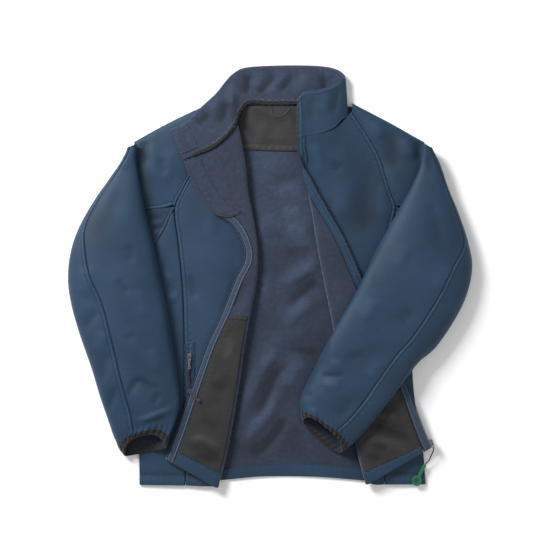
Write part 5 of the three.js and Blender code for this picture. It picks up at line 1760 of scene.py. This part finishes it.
def build_cords():
    for name, rows, body, grip, far_end in (
            ("zip_cord_l", MAIN_CORD, "main_pull", build_drop(), "fitting"),
            ("pocket_cord_r", POCKET_CORD, "pocket_pull", build_stem(), "knot")):
        route, length = route_of(rows, 110)
        piece = braided(name, route, CORD / 2, 1.0, "cord", body, [name])
    route, _ = route_of(LOOP, 150)
    braided("hanger_loop", route, 1.8, 0.55, "sleeving", "garment", ["hanger_loop"])


# Each sheet of cloth: how it is held, what it lies on and the narrow trims that go with it. Rows
# with HAND are one piece a side.
SHEETS = """
  back_panel, laid, floor
  back_neck_facing, laid, back_panel, back_facing_binding hanger_loop stitches_facing
  hem_facing_back, laid, back_panel, stitches_hem_back
  collar, folded, back_panel front_centre_r front_centre_l, collar_edge_binding_r stitches_collar
  neck_tape, laid, collar, stitches_neck
  chin_guard_r, laid, collar, stitches_chin
  wind_flap_r, laid, zip_tape_r, flap_binding_r stitches_wind_flap
  pocket_zip_tape_r, laid, front_centre_r, pocket_zip_teeth_r stitches_pocket
  front_centre_HAND, folded, back_panel, stitches_front_HAND
  front_side_HAND, laid, back_panel, stitches_side_HAND
  zip_tape_HAND, laid, front_centre_HAND, zip_teeth_HAND stitches_zip_HAND
  hem_facing_HAND, laid, front_centre_HAND, stitches_hem_HAND
  pocket_bag_HAND, laid, front_centre_HAND, stitches_bag_HAND
  sleeve_cap_HAND, folded, back_panel, stitches_cap_HAND
  sleeve_gusset_HAND, laid, back_panel
  sleeve_top_HAND, folded, floor front_side_HAND, cuff_binding_HAND stitches_sleeve_HAND
  sleeve_elbow_HAND, folded, floor front_side_HAND"""


def declare_sheets():
    rows = SHEETS.strip().splitlines()
    rows = [row for row in rows if "HAND" not in row] + [
        row.replace("HAND", hand) for hand in "rl" for row in rows if "HAND" in row]
    for row in rows:
        name, held, rests_on, trims = (row.split(",") + [""])[:4]
        width, length, area = CUT[name.strip()]
        area = min(area, width * length)
        print("cut", name.strip(), round(width, 4), round(length, 4), round(area, 5))


build_cords()
build_back()
build_fronts()
build_wind_flap()
build_pocket()
build_sides()
build_caps()
build_gussets()
build_collar()
build_sleeves()
build_teeth()
build_stitches()

# The CAD nodes that still show get the materials of their slots.
SLOTS = {row["node"]: row["material_slot"] for row in frame["record"]["subparts"]}
for node, piece in frame["nodes"].items():
    if not piece.hide_render and SLOTS.get(node) in MATERIALS:
        piece.data.materials.clear()
        piece.data.materials.append(MATERIALS[SLOTS[node]])

# Pale table and soft light from above the wearer's right shoulder.
floor_mesh = bpy.data.meshes.new("table")
reach = 6.0
floor_mesh.from_pydata([(-reach, -reach, -0.0006), (reach, -reach, -0.0006), (reach, reach, -0.0006),
                        (-reach, reach, -0.0006)], [], [(0, 1, 2, 3)])
floor = bpy.data.objects.new("table", floor_mesh)
bpy.context.scene.collection.objects.link(floor)
white = bpy.data.materials.new("table")
white.use_nodes = True
white.node_tree.nodes["Principled BSDF"].inputs["Base Color"].default_value = (0.98, 0.98, 0.98, 1)
white.node_tree.nodes["Principled BSDF"].inputs["Roughness"].default_value = 0.9
floor_mesh.materials.append(white)
declare_sheets()


def area_light(name, place, size, power):
    lamp = bpy.data.objects.new(name, bpy.data.lights.new(name, "AREA"))
    lamp.data.size = size
    lamp.data.energy = power
    lamp.location = place
    lamp.rotation_euler = (Vector((0, 0, 0)) - Vector(place)).to_track_quat("-Z", "Y").to_euler()
    bpy.context.scene.collection.objects.link(lamp)


area_light("key", (-1.5, 1.5, 1.6), 0.9, 92)
area_light("fill", (1.5, -0.8, 2.2), 2.0, 12)
world = bpy.data.worlds.new("studio")
world.use_nodes = True
world.node_tree.nodes["Background"].inputs["Color"].default_value = (1, 1, 1, 1)
world.node_tree.nodes["Background"].inputs["Strength"].default_value = 0.44
bpy.context.scene.world = world
bpy.context.scene.view_settings.view_transform = "Standard"
